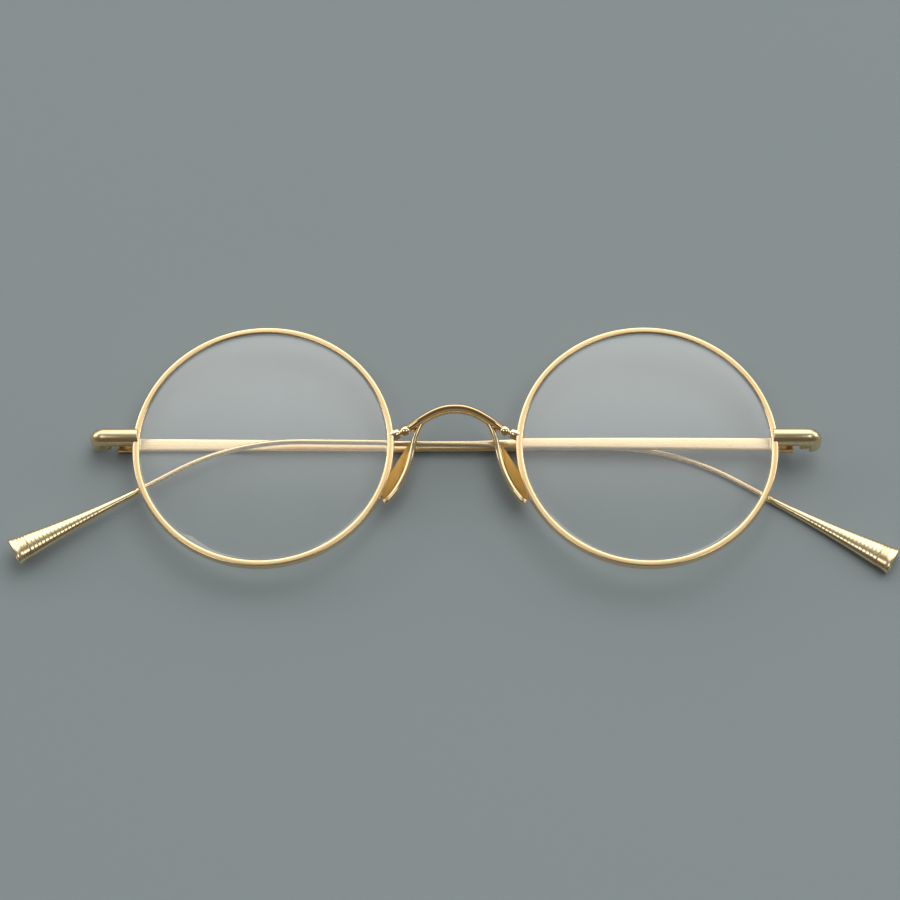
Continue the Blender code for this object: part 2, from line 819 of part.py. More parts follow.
def make_sleeve(label, side, pivot):
    """Flared oval sleeve with ring grooves at its end, and a blind bore for the wire."""
    grooves_start = SLEEVE_LENGTH - SLEEVE_LIP - (RING_GROOVES + 0.5) * RING_GROOVE_PITCH
    stations = [(grooves_start * i / SLEEVE_STATIONS, 0.0) for i in range(SLEEVE_STATIONS)]
    for i in range(RING_GROOVES):
        base = grooves_start + i * RING_GROOVE_PITCH
        stations += [(base, 0.0), (base + RING_GROOVE_PITCH / 2, RING_GROOVE_DEPTH)]
    stations.append((grooves_start + RING_GROOVES * RING_GROOVE_PITCH, 0.0))
    stations += [(SLEEVE_LENGTH - SLEEVE_LIP, 0.0), (SLEEVE_LENGTH, SLEEVE_LIP)]
    rings = []
    for distance, sink in stations:
        half_width, half_out, outward = sleeve_size(distance / SLEEVE_LENGTH)
        section = []
        for i in range(SLEEVE_SIDES):
            angle = math.tau * i / SLEEVE_SIDES
            up = (half_width - sink) * math.cos(angle)
            out = (half_out - sink) * math.sin(angle)
            section.append((up, out))
        rings.append(temple_ring(side, SLEEVE_START + distance, section, outward))
    sleeve = loft("tip_sleeve_" + label, rings, flip=side < 0, mat=SLEEVE_GOLD, parent=pivot)

    bore_half = CORE_DIAMETER / 2 + BORE_CLEARANCE
    section = rounded_rectangle(bore_half, bore_half, bore_half)
    wire_centre = STRIP_OUTER - WIRE_DIAMETER / 2
    ends = (SLEEVE_START - CORE_DIAMETER, SLEEVE_START + CORE_LENGTH + BRAZE_GAP)
    bore = loft(
        "tip_bore_" + label,
        [temple_ring(side, along, section, wire_centre) for along in ends],
        flip=side < 0,
        parent=pivot,
        cutter=True,
    )
    boolean(sleeve, bore)


# -------------------------------------------------------------- bridge and nose pads


def foot_inner_x():
    """Nose-side end of the bridge foot."""
    return LENS_X - RIM_OUTER - FOOT_LENGTH


def bridge_points():
    """The arch's centreline, from the right foot over the nose to the left foot."""
    reach = foot_inner_x() - NECK_LENGTH
    shares = (1.0, 0.9, 0.79, 0.64, 0.42, 0.2, 0.0)
    rises = (0.0, 0.1, 0.28, 0.51, 0.79, 0.96, 1.0)
    half = []
    for share, rise in zip(shares, rises):
        y = BRIDGE_END_RISE + (BRIDGE_RISE - BRIDGE_END_RISE) * rise
        z = BRIDGE_FORWARD * rise
        half.append(Vector((-reach * share, y, z)))
    mirrored = [Vector((-p.x, p.y, p.z)) for p in reversed(half[:-1])]
    return half + mirrored


def make_bridge():
    path = smooth_path(bridge_points(), 3)
    middle = (len(path) - 1) / 2
    sections = []
    for i in range(len(path)):
        end = abs(i - middle) / middle
        half_thickness = BRIDGE_THICKNESS / 2 * (1 - BRIDGE_END_SLIMMING * end**6)
        half_depth = BRIDGE_DEPTH / 2 * (1 - BRIDGE_END_SLIMMING * end**3)
        sections.append(rounded_rectangle(half_thickness, half_depth, BRIDGE_ROUNDING))
    swept("bridge", path, sections, Vector((0, 0, 1)), mat=BRIDGE_GOLD, parent=FRONT)


def arch_place(side, index):
    """Point and outward direction of the arch's centreline at one of its drawn points."""
    points = bridge_points()
    point, before = points[index], points[max(index - 1, 0)]
    after = points[index + 1]
    outward = (before - after).normalized()
    return Vector((-side * point.x, point.y, point.z)), Vector((-side * outward.x, *outward.yz))


def half_space(name, point, normal):
    """A cutter that takes all behind a plane, as far as anything near the bridge reaches."""
    reach = BRIDGE_RISE
    cutter = box(name, (-reach, -reach, -reach), (reach, reach, 0), parent=FRONT, cutter=True)
    cutter.location = point
    cutter.rotation_mode = "QUATERNION"
    cutter.rotation_quaternion = normal.to_track_quat("Z", "Y")
    return cutter


def make_foot(label, side):
    """Block on the rim, with a thin stub that carries the end of the arch."""
    foot = box(
        "bridge_foot_" + label,
        (side * foot_inner_x(), FOOT_RISE - FOOT_HEIGHT / 2, -FOOT_DEPTH / 2),
        (side * (LENS_X - RIM_INNER), FOOT_RISE + FOOT_HEIGHT / 2, FOOT_DEPTH / 2),
        mat=FOOT_GOLD,
        parent=FRONT,
    )
    bevel = foot.modifiers.new("Rounding", "BEVEL")
    bevel.width = FOOT_ROUNDING
    bevel.segments = 3
    bm = bmesh.new()
    bmesh.ops.create_cone(
        bm,
        cap_ends=True,
        segments=16,
        radius1=NECK_RADIUS,
        radius2=NECK_RADIUS,
        depth=2 * NECK_LENGTH + FOOT_LENGTH,
    )
    turn = Matrix.Rotation(math.radians(90), 4, "Y")
    place = Matrix.Translation((side * foot_inner_x(), (FOOT_RISE + BRIDGE_END_RISE) / 2, 0))
    bmesh.ops.transform(bm, matrix=place @ turn, verts=bm.verts)
    stub = finish_mesh("foot_stub_" + label, bm, parent=FRONT, cutter=True)
    end, outward = arch_place(side, 0)
    seat = half_space("arch_end_" + label, end + outward * BRAZE_GAP, outward)
    boolean(stub, seat)
    boolean(foot, stub, "UNION")
    boolean(foot, rim_shadow(label, side, -RIM_DEPTH, RIM_DEPTH))


def pad_path(side):
    """Front edge of the pad and its stem, from under the arch down beside the nose."""
    points = [
        (6.5, 3.6, 0.5),
        (6.9, 2.0, 0.1),
        (7.3, 0.0, -0.2),
        (7.9, -2.6, -0.4),
        (8.9, -5.6, -0.5),
        (10.3, -8.3, -0.6),
        (11.9, -10.3, -0.7),
        (12.8, -10.9, -0.8),
    ]
    inward = (BRIDGE_GAP - PAD_FIT_GAP) / 2
    start, _ = arch_place(side, PAD_ARCH_POINT)
    return [start, *(Vector((side * (x * MM + inward), y * MM, z * MM)) for x, y, z in points)]


def pad_share(t):
    """Width of the pad at a share of its path: a plain stem, then a leaf, a round end."""
    if t < PAD_STEM_SHARE:
        return PAD_STEM_WIDTH / PAD_WIDTH
    u = (t - PAD_STEM_SHARE) / (1 - PAD_STEM_SHARE)
    stem = PAD_STEM_WIDTH / PAD_WIDTH
    if u < 0.5:
        return stem + (1 - stem) * math.sin(math.pi * u) ** 1.3
    return stem + (1 - stem) * math.sqrt(max(1 - (2 * u - 1) ** 2.6, 0.0))


def make_pad(label, side):
    """Metal leaf that lies along the nose, with a rounded bead on its front edge."""
    path = smooth_path(pad_path(side), 3)
    back = Vector((side * math.sin(PAD_SPLAY), 0, -math.cos(PAD_SPLAY)))
    rings = []
    for i, (point, along) in enumerate(zip(path, tangents(path))):
        t = i / (len(path) - 1)
        width = PAD_WIDTH * pad_share(t)
        thick = along.cross(back).normalized() * side
        wide = thick.cross(along).normalized() * side
        if wide.dot(back) < 0:
            wide = -wide
        half = PAD_THICKNESS / 2
        section = rounded_rectangle(width / 2, half, half * 0.8, steps=2)
        centre = point + wide * (width / 2)
        rings.append([centre + wide * u + thick * v for u, v in section])
    pad = loft("nose_pad_" + label, rings, flip=False, mat=PAD_GOLD, parent=FRONT)
    start, outward = arch_place(side, PAD_ARCH_POINT)
    down = outward.cross(Vector((0, 0, 1))).normalized() * side
    seat = half_space("pad_seat_" + label, start + down * (BRIDGE_THICKNESS / 2 + PAD_GAP), down)
    boolean(pad, seat)


# ---------------------------------------------------------------------- the assembly

clear_scene()
PARTS = make_collection("eyeglasses")
CUTTERS = make_collection("eyeglasses_cutters")
RIM_GOLD = material("rim_gold", (0.82, 0.63, 0.36), 0.3, 1.0)
BRIDGE_GOLD = material("polished_gold", (0.80, 0.58, 0.30), 0.12, 1.0)
FOOT_GOLD = material("foot_gold", (0.80, 0.60, 0.33), 0.2, 1.0)
PAD_GOLD = material("pad_gold", (0.82, 0.58, 0.26), 0.18, 1.0)
END_PIECE_GOLD = material("end_piece_gold", (0.72, 0.58, 0.33), 0.28, 1.0)
TEMPLE_GOLD = material("temple_gold", (0.86, 0.68, 0.42), 0.35, 1.0)
SLEEVE_GOLD = material("sleeve_gold", (0.84, 0.62, 0.32), 0.25, 1.0)
HINGE_GOLD = material("hinge_gold", (0.74, 0.54, 0.28), 0.22, 1.0)
LOCK_GOLD = material("lock_gold", (0.70, 0.52, 0.28), 0.3, 1.0)
SCREW_GOLD = material("screw_gold", (0.86, 0.70, 0.44), 0.15, 1.0)
CLEAR = material("clear_lens", (0.95, 0.97, 0.97), 0.03, 0.0, transmission=1.0)
POLYMER = material("washer_polymer", (0.75, 0.72, 0.65), 0.5, 0.0)

lift_z = PIN_X * math.sin(-FOLD_TILT) + PIN_Z * math.cos(FOLD_TILT)
FRONT = add_empty("front", (0, 0, STRIP_OUTER - lift_z), turn_y=-FOLD_TILT)

make_bridge()

for label, side in SIDES.items():
    make_rim(label, side)
    make_lens(label, side)
    make_foot(label, side)
    make_pad(label, side)
    make_end_piece(label, side)
    make_lock(label, side)
    make_front_leaf(label, side)
    make_hinge_screw(label, side)
    make_washers(label, side)
    pivot = add_empty(
        "pivot_" + label, (side * PIN_X, HINGE_HEIGHT, PIN_Z), turn_y=FOLD_TILT, parent=FRONT
    )
    make_temple_leaf(label, side, pivot)
    make_temple(label, side, pivot)
    make_sleeve(label, side, pivot)
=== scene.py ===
# %% [markdown]
# # Round wire eyeglasses, folded on a table
#
# A pair of gold metal glasses lies folded with its front facing up. This lesson dresses
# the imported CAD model: the small hinge parts keep their CAD shape and get a finish, and
# every larger part is built again as a smooth, finished piece in the same place.
#
# All lengths are metres, and MM turns millimetres into them.

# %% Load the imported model
import json
import math

import bmesh
import bpy
from mathutils import Matrix, Vector


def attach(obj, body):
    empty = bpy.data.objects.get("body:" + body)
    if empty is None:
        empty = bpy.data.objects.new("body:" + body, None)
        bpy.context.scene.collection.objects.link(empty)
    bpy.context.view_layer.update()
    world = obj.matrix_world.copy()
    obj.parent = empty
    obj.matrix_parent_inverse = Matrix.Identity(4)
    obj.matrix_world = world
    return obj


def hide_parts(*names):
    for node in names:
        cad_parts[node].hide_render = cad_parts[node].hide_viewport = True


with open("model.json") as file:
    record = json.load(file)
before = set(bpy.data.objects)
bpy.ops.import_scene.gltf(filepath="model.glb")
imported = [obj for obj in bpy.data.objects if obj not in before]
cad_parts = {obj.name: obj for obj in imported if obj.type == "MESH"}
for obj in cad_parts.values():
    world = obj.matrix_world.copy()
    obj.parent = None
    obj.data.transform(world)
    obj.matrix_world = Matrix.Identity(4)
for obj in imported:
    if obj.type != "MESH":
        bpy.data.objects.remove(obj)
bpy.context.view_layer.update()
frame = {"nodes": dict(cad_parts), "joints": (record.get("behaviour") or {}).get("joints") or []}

MM = 0.001
SIDES = {"right": -1, "left": 1}

# %% [markdown]
# ## Where the parts are
#
# The hinge pins fix everything. The line from one pin to the other is the X axis of the
# front, which leans a little because the folded temples lie one over the other. The two
# temples lie flat, so a point on a temple is just counted from its pin. Every number
# could be typed in instead, but then the pieces would stay behind if the pins moved.

# %% Axes from the hinge pins
PIN_DEPTH = 1.6 * MM  # of the pins behind the rims' middle plane
HINGE_HEIGHT = 1.8 * MM  # of the pins above the lens centres

PINS = {}
for joint in frame["joints"]:
    side = "right" if "right" in joint["name"] else "left"
    PINS[side] = Vector(joint["pos_m"])

ACROSS = (PINS["left"] - PINS["right"]).normalized()
UPWARD = Vector((0, 1, 0))
OUTWARD = ACROSS.cross(UPWARD)
middle = (PINS["left"] + PINS["right"]) / 2
origin = middle + OUTWARD * PIN_DEPTH - UPWARD * HINGE_HEIGHT
FRONT = Matrix((ACROSS, UPWARD, OUTWARD)).transposed().to_4x4()
FRONT.translation = origin
print("pins", round((PINS["left"] - PINS["right"]).length / MM, 2), "mm apart")

# %% [markdown]
# ## The camera
#
# The glasses are seen from above their lower edge, through a fairly long lens at less
# than half a metre, rolled by a third of a degree. A constraint could aim the camera, but
# a rotation worked out once holds still and can be read.

# %% Camera
CAMERA_ELEVATION = math.radians(65.9)
CAMERA_DISTANCE = 450 * MM
CAMERA_ROLL = math.radians(0.34)
CAMERA_LOOK = Vector((-0.9, -0.8, 5.6)) * MM
CAMERA_LENS = 98.7
CAMERA_SENSOR = 36.0
CAMERA_NEAREST = 10 * MM


def place_in_scene(name, data):
    """A new object in the scene, at the origin."""
    obj = bpy.data.objects.new(name, data)
    bpy.context.scene.collection.objects.link(obj)
    return obj


def make_camera():
    data = bpy.data.cameras.new("camera")
    data.lens = CAMERA_LENS
    data.sensor_width = CAMERA_SENSOR
    data.clip_start = CAMERA_NEAREST
    obj = place_in_scene("camera", data)
    back = Vector((0, -math.cos(CAMERA_ELEVATION), math.sin(CAMERA_ELEVATION)))
    obj.location = CAMERA_LOOK + back * CAMERA_DISTANCE
    obj.rotation_mode = "QUATERNION"
    aim = (-back).to_track_quat("-Z", "Y").to_matrix()
    roll = Matrix.Rotation(CAMERA_ROLL, 3, back)
    obj.rotation_quaternion = (roll @ aim).to_quaternion()
    bpy.context.scene.camera = obj
    return obj


camera = make_camera()
print("camera at", [round(v, 3) for v in camera.location])

# %% [markdown]
# ## The panels
#
# The key panel is the window of the room: it lights the floor and makes the soft
# shadows. It isn't seen in the metal, where its square outline would show. Two ceiling
# strips put a highlight on the upward faces of the wires, and two side panels put a spot
# on the round corners. Small lamps could do the same, but their shadows would be hard.
#
# The Standard view shows each colour as it is. The default view would wash out the gold.

# %% Panels
PANELS = [
    # name, place, size, power, seen in the metal
    ("key_panel", (0.35, 0.5, 1.2), (1.1, 1.1), 8.0, False),
    ("right_ceiling_strip", (0.52, -0.27, 1.1), (0.5, 0.34), 1.1, True),
    ("left_ceiling_strip", (-0.52, -0.27, 1.1), (0.5, 0.34), 1.1, True),
    ("right_panel", (1.0, 0.4, 0.36), (0.6, 0.5), 2.4, True),
    ("left_panel", (-1.0, 0.4, 0.36), (0.6, 0.5), 2.4, True),
]


def make_panel(name, place, size, power, seen):
    """An area light turned towards the glasses."""
    data = bpy.data.lights.new(name, "AREA")
    data.shape = "RECTANGLE"
    data.size, data.size_y = size
    data.energy = power
    obj = place_in_scene(name, data)
    obj.location = place
    obj.rotation_mode = "QUATERNION"
    obj.rotation_quaternion = (-Vector(place)).to_track_quat("-Z", "Y")
    obj.visible_glossy = seen
    obj.visible_transmission = seen
    return obj


for panel in PANELS:
    make_panel(*panel)
bpy.context.scene.view_settings.view_transform = "Standard"
print(len(PANELS), "panels")

# %% [markdown]
# ## The room
#
# Polished metal shows its surroundings more than itself. A picture of a real room could
# stand here, but a few nodes say all that matters: a wide, soft bright field low behind
# the glasses gives the flat faces their cream tone and fades over the lenses. The rest
# of the room is dim, and dimmest in front, which leaves the undersides brown.

# %% The room and its bright field
ROOM_FRONT = (0.11, 0.10, 0.085, 1.0)
ROOM_REAR = (0.22, 0.23, 0.23, 1.0)
ROOM_EDGES = (-0.55, 0.15)  # how far back the dim front ends and the rear begins
FIELD_TONE = (2.08, 2.06, 2.02, 1.0)
FIELD_HEIGHT = math.radians(38)
FIELD_REACH = math.radians(41)
FIELD_WIDEN = 0.55  # under 1 the field is wider than it is high


def add_node(tree, kind, inputs=None, **settings):
    """A new node's outputs. An input is linked if it is given a socket, or else set."""
    node = tree.nodes.new(kind)
    for name, value in settings.items():
        setattr(node, name, value)
    for name, value in (inputs or {}).items():
        if isinstance(value, bpy.types.NodeSocket):
            tree.links.new(value, node.inputs[name])
        else:
            node.inputs[name].default_value = value
    return node.outputs


def vector_node(tree, operation, *values):
    inputs = dict(enumerate(values))
    return add_node(tree, "ShaderNodeVectorMath", inputs, operation=operation)


def range_node(tree, value, low, high, **settings):
    """A value turned into 0 at low and 1 at high."""
    inputs = {"Value": value, "From Min": low, "From Max": high}
    return add_node(tree, "ShaderNodeMapRange", inputs, **settings)["Result"]


def mix_node(tree, factor, a, b, blend="MIX"):
    """A mix of two colours."""
    inputs = {"Factor": factor, "A": a, "B": b}
    return add_node(tree, "ShaderNodeMix", inputs, data_type="RGBA", blend_type=blend)["Result"]


def make_room():
    """A world of two dim tones, with a bright field that fades at its edge."""
    world = bpy.data.worlds.new("studio_room")
    bpy.context.scene.world = world
    world.use_nodes = True
    tree = world.node_tree
    ray = add_node(tree, "ShaderNodeTexCoord")["Generated"]
    backward = add_node(tree, "ShaderNodeSeparateXYZ", {0: ray})["Y"]
    room = mix_node(tree, range_node(tree, backward, *ROOM_EDGES), ROOM_FRONT, ROOM_REAR)
    narrowed = vector_node(tree, "MULTIPLY", ray, (FIELD_WIDEN, 1, 1))[0]
    unit = vector_node(tree, "NORMALIZE", narrowed)[0]
    aim = (0, math.cos(FIELD_HEIGHT), math.sin(FIELD_HEIGHT))
    facing = vector_node(tree, "DOT_PRODUCT", unit, aim)["Value"]
    edge = math.cos(FIELD_REACH)
    fade = range_node(tree, facing, edge, 1.0, interpolation_type="SMOOTHSTEP")
    field = mix_node(tree, fade, room, FIELD_TONE)
    tree.links.new(field, tree.nodes["Background"].inputs["Color"])


make_room()
print("room:", bpy.context.scene.world.name)

# %% [markdown]
# ## The floor
#
# The table is one plain, dull sheet under the glasses. Its tone drifts by a few
# hundredths, because a perfectly even floor looks like no floor at all.

# %% The floor
FLOOR_SIZE = 4.0
FLOOR_TONE = (0.215, 0.247, 0.253)
FLOOR_DRIFT = (0.97, 1.03)
FLOOR_PATCHES = 3.0  # scale of the noise
FLOOR_SHINE = {"Roughness": 0.9, "Specular IOR Level": 0.1}


def new_material(name, shine):
    """A material, its tree, its main shader's inputs, and places on the object."""
    material = bpy.data.materials.new(name)
    material.use_nodes = True
    tree = material.node_tree
    shader = tree.nodes["Principled BSDF"].inputs
    for label, value in shine.items():
        shader[label].default_value = value
    return material, tree, shader, add_node(tree, "ShaderNodeTexCoord")["Object"]


def noise_node(tree, place, scale, detail=2.0):
    inputs = {"Vector": place, "Scale": scale, "Detail": detail}
    return add_node(tree, "ShaderNodeTexNoise", inputs)["Fac"]


def ramp_node(tree, factor, tones):
    """A colour ramp from one tone to the other."""
    ramp = tree.nodes.new("ShaderNodeValToRGB")
    for element, tone in zip(ramp.color_ramp.elements, tones):
        element.color = (*tone, 1.0)
    tree.links.new(factor, ramp.inputs["Fac"])
    return ramp.outputs["Color"]


def make_floor():
    mesh = bpy.data.meshes.new("floor")
    half = FLOOR_SIZE / 2
    corners = [(-half, -half, 0), (half, -half, 0), (half, half, 0), (-half, half, 0)]
    mesh.from_pydata(corners, [], [(0, 1, 2, 3)])
    obj = place_in_scene("floor", mesh)
    material, tree, shader, place = new_material("plain_floor", FLOOR_SHINE)
    tones = [[c * share for c in FLOOR_TONE] for share in FLOOR_DRIFT]
    colour = ramp_node(tree, noise_node(tree, place, FLOOR_PATCHES), tones)
    tree.links.new(colour, shader["Base Color"])
    mesh.materials.append(material)


make_floor()
print("floor", FLOOR_SIZE, "m wide")

# %% [markdown]
# ## Two shared effects
#
# The whole frame is plated in one pale gold, and the parts differ in how they were
# finished: polished, satin, or brushed along their length. The browner bridge, the
# deeper corners and the rim bands carry painted shade in their colour, and the orange
# pad leaves carry painted reflection. Two effects are shared: the fine grain that a brush
# leaves, and a slow drift of tone and shine where plating is thinner or fingers have
# been. Each could be copied into every material, but as a shader node group it is made
# once.

# %% Shader node groups
GRAIN_SCALE = 6000.0
GRAIN_RANGE = (0.35, 0.65)  # of the noise that the mask is stretched over
GRAIN_DETAIL = 3.0
DRIFT_SCALE = 120.0


def math_node(tree, operation, *values):
    return add_node(tree, "ShaderNodeMath", dict(enumerate(values)), operation=operation)[0]


def group_tree(kind, name, inputs, outputs):
    """A node tree with its named sockets, and what it is given."""
    tree = bpy.data.node_groups.new(name, kind)
    for way, sockets in (("INPUT", inputs), ("OUTPUT", outputs)):
        for label, value in sockets.items():
            tree.interface.new_socket(name=label, in_out=way, socket_type="NodeSocket" + value)
    return tree, add_node(tree, "NodeGroupInput")


def make_grain_group():
    """Stretched noise: a height for bump, and a mask for roughness."""
    inputs = {"Vector": "Vector", "Stretch": "Vector", "Scale": "Float"}
    outputs = {"Height": "Float", "Mask": "Float"}
    tree, given = group_tree("ShaderNodeTree", "brushed_grain", inputs, outputs)
    place = vector_node(tree, "MULTIPLY", given["Vector"], given["Stretch"])[0]
    noise = noise_node(tree, place, given["Scale"], GRAIN_DETAIL)
    mask = range_node(tree, noise, *GRAIN_RANGE)
    add_node(tree, "NodeGroupOutput", {"Height": noise, "Mask": mask})
    return tree


def make_drift_group():
    """Slow noise that mixes two tones of plating and two values of roughness."""
    inputs = {
        "Vector": "Vector",
        "Scale": "Float",
        "Tone": "Color",
        "Deep Tone": "Color",
        "Low Roughness": "Float",
        "High Roughness": "Float",
        "Grain": "Float",
    }
    outputs = {"Color": "Color", "Roughness": "Float"}
    tree, given = group_tree("ShaderNodeTree", "plating_drift", inputs, outputs)
    noise = noise_node(tree, given["Vector"], given["Scale"])
    half_grain = math_node(tree, "MULTIPLY", given["Grain"], 0.5)
    blend = math_node(tree, "MULTIPLY_ADD", noise, 0.5, half_grain)
    ends = {"Value": blend, "To Min": given["Low Roughness"], "To Max": given["High Roughness"]}
    rough = add_node(tree, "ShaderNodeMapRange", ends)["Result"]
    tone = mix_node(tree, noise, given["Tone"], given["Deep Tone"])
    add_node(tree, "NodeGroupOutput", {"Color": tone, "Roughness": rough})
    return tree


GRAIN = make_grain_group()
DRIFT = make_drift_group()
print("groups:", GRAIN.name, DRIFT.name)

# %% [markdown]
# ## The golds
#
# A finish is two tones, two values of roughness, a stretch for the grain and the strength
# of its bump. Polished parts are smooth and hardly uneven, and satin parts are rougher.
# One function makes them all, so the finishes differ only in the numbers of a table.

# %% One function for every gold finish
GRAIN_HEIGHT = 0.05 * MM
GRAIN_BUMP = 0.012


def gold(name, tone, deep, rough, stretch=(1, 1, 1), bump=GRAIN_BUMP):
    """A plated metal: tone drift, brushed grain and a slight bump."""
    material, tree, shader, place = new_material(name, {"Metallic": 1.0})
    brush = {"Vector": place, "Stretch": stretch, "Scale": GRAIN_SCALE}
    grain = add_node(tree, "ShaderNodeGroup", brush, node_tree=GRAIN)
    plating = {
        "Vector": place,
        "Scale": DRIFT_SCALE,
        "Tone": (*tone, 1.0),
        "Deep Tone": (*deep, 1.0),
        "Low Roughness": rough[0],
        "High Roughness": rough[1],
        "Grain": grain["Mask"],
    }
    drift = add_node(tree, "ShaderNodeGroup", plating, node_tree=DRIFT)
    bumps = {"Strength": bump, "Distance": GRAIN_HEIGHT, "Height": grain["Height"]}
    uneven = add_node(tree, "ShaderNodeBump", bumps)
    tree.links.new(drift["Color"], shader["Base Color"])
    tree.links.new(drift["Roughness"], shader["Roughness"])
    tree.links.new(uneven["Normal"], shader["Normal"])
    return material


# %% The gold finishes
ALONG_X = (0.012, 1.0, 1.0)
FLAT_BUMP = 0.002  # on the flat faces, where unevenness shows most
RIM_GOLD = {
    "tone": (1.0, 0.80, 0.50),
    "deep": (0.95, 0.69, 0.37),
    "rough": (0.18, 0.28),
    "bump": 0.003,
}
FINISHES = {
    "rim_right": gold("satin_rim_gold_right", **RIM_GOLD),
    "rim_left": gold("satin_rim_gold_left", **RIM_GOLD),
    # The bridge's browner tones are painted shade, standing in for the dark room it reflects.
    "bridge": gold("polished_bridge_gold_painted_shade", (0.92, 0.66, 0.35), (0.74, 0.46, 0.19), (0.06, 0.13)),
    "foot": gold("polished_foot_gold", (1.0, 0.84, 0.58), (0.94, 0.73, 0.43), (0.08, 0.16)),
    "pad": gold("polished_pad_gold", (1.0, 0.82, 0.54), (0.94, 0.70, 0.39), (0.06, 0.14)),
    # The pad leaf's deep orange is painted reflection: the warm light bounced between the gold
    # parts.
    "pad_painted_reflection": gold(
        "satin_pad_gold_painted_reflection", (1.0, 0.63, 0.19), (0.94, 0.51, 0.11), (0.26, 0.36), bump=FLAT_BUMP
    ),
    # The corners' deeper tones are painted shade, standing in for the dark room they reflect.
    "end_piece": gold(
        "satin_corner_gold_painted_shade", (0.90, 0.73, 0.45), (0.80, 0.61, 0.33), (0.24, 0.32), ALONG_X
    ),
    "temple": gold(
        "brushed_temple_gold",
        (1.0, 0.81, 0.54),
        (0.95, 0.71, 0.40),
        (0.2, 0.32),
        ALONG_X,
        FLAT_BUMP,
    ),
    "sleeve": gold("engraved_tip_gold", (1.0, 0.84, 0.54), (0.94, 0.74, 0.40), (0.16, 0.26)),
    "hinge": gold("machined_hinge_gold", (0.92, 0.69, 0.38), (0.82, 0.55, 0.26), (0.2, 0.35)),
    "lock": gold("machined_lock_gold", (0.84, 0.62, 0.36), (0.74, 0.50, 0.26), (0.25, 0.4)),
    "screw": gold("polished_screw_gold", (1.0, 0.83, 0.56), (0.92, 0.72, 0.44), (0.1, 0.2)),
}
print(len(FINISHES), "gold finishes")

# %% [markdown]
# ## The satin band of a rim
#
# The face of a rim is satin and its edges are polished, so three rings are seen. The band
# is rougher, and its colour is darkened as painted shade. It could be a strip of faces
# with its own material. It is worked out from the distance to the lens centre instead,
# which lets it end softly.

# %% The satin band
LENS_X = 35.0 * MM
BAND_RADIUS = 23.25 * MM
BAND_HALF = 0.26 * MM
BAND_SOFT = 0.12 * MM
# The next tone darkens the band's colour as painted shade.
BAND_PAINTED_SHADE = (0.84, 0.76, 0.64, 1.0)
BAND_ROUGHNESS = 0.16  # added to the rim's own


def add_band(material, centre):
    """Leaves a rim's edges polished; the band between them is rougher, with painted shade."""
    tree = material.node_tree
    shader = tree.nodes["Principled BSDF"].inputs
    place = add_node(tree, "ShaderNodeTexCoord")["Object"]
    from_centre = vector_node(tree, "SUBTRACT", place, centre)[0]
    flat = vector_node(tree, "MULTIPLY", from_centre, (1, 1, 0))[0]
    radius = vector_node(tree, "LENGTH", flat)["Value"]
    offset = math_node(tree, "ABSOLUTE", math_node(tree, "SUBTRACT", radius, BAND_RADIUS))
    band = range_node(tree, offset, BAND_HALF, BAND_HALF - BAND_SOFT)
    tone = shader["Base Color"].links[0].from_socket
    rough = shader["Roughness"].links[0].from_socket
    # The band's colour is multiplied darker: painted shade.
    shade = mix_node(tree, band, tone, BAND_PAINTED_SHADE, "MULTIPLY")
    duller = math_node(tree, "MULTIPLY_ADD", band, BAND_ROUGHNESS, rough)
    tree.links.new(shade, shader["Base Color"])
    tree.links.new(duller, shader["Roughness"])


for label, side in SIDES.items():
    add_band(FINISHES["rim_" + label], FRONT @ Vector((side * LENS_X, 0, 0)))
    print("satin band on rim", label)

# %% [markdown]
# ## The clear lens
#
# A lens is clear resin with a faint cast. A plain glass material would cast a dark
# shadow, because a shadow ray finds no light through a bent face. So shadow rays and
# diffuse rays pass straight through here: the floor is lit as if the lens were a window,
# and the camera still sees a real lens.

# %% The clear lens
LENS_TINT = (0.965, 0.98, 0.975, 1.0)
LENS_CLEAR = (0.985, 0.99, 0.99, 1.0)
LENS_CAST = 40.0  # scale of the noise between the two
LENS_SHINE = {"Transmission Weight": 1.0, "IOR": 1.67, "Roughness": 0.0}


def make_lens_finish():
    """Clear resin that shadow rays and diffuse rays pass straight through."""
    material, tree, shader, place = new_material("clear_coated_lens", LENS_SHINE)
    cast = noise_node(tree, place, LENS_CAST)
    tree.links.new(mix_node(tree, cast, LENS_TINT, LENS_CLEAR), shader["Base Color"])
    path = add_node(tree, "ShaderNodeLightPath")
    passing = math_node(tree, "MAXIMUM", path["Is Shadow Ray"], path["Is Diffuse Ray"])
    resin = tree.nodes["Principled BSDF"].outputs["BSDF"]
    clear = add_node(tree, "ShaderNodeBsdfTransparent")["BSDF"]
    choice = add_node(tree, "ShaderNodeMixShader", {"Fac": passing, 1: resin, 2: clear})
    tree.links.new(choice["Shader"], tree.nodes["Material Output"].inputs["Surface"])
    return material


LENS = make_lens_finish()
print("lens finish:", LENS.name)

# %% [markdown]
# ## The washer polymer
#
# Four thin washers keep metal off metal in the hinges. They are pressed from a pale,
# filled polymer. An even colour would do, but a fine speckle shows that it is filled.

# %% The washer polymer
POLYMER_TONES = ((0.62, 0.58, 0.50), (0.76, 0.73, 0.66))
POLYMER_SPECKLE = 2500.0


def make_polymer():
    material, tree, shader, place = new_material("washer_polymer", {"Roughness": 0.45})
    speckle = noise_node(tree, place, POLYMER_SPECKLE)
    tree.links.new(ramp_node(tree, speckle, POLYMER_TONES), shader["Base Color"])
    return material


POLYMER = make_polymer()
print("washer finish:", POLYMER.name)

# %% [markdown]
# ## Small parts that keep their CAD shape
#
# Hinge leaves, screws, washers and rim locks are a millimetre or two across and mostly
# hidden. They could be built again like the rest, but nobody would see the difference,
# and their CAD shape is exact. They only need a finish in their material slot.

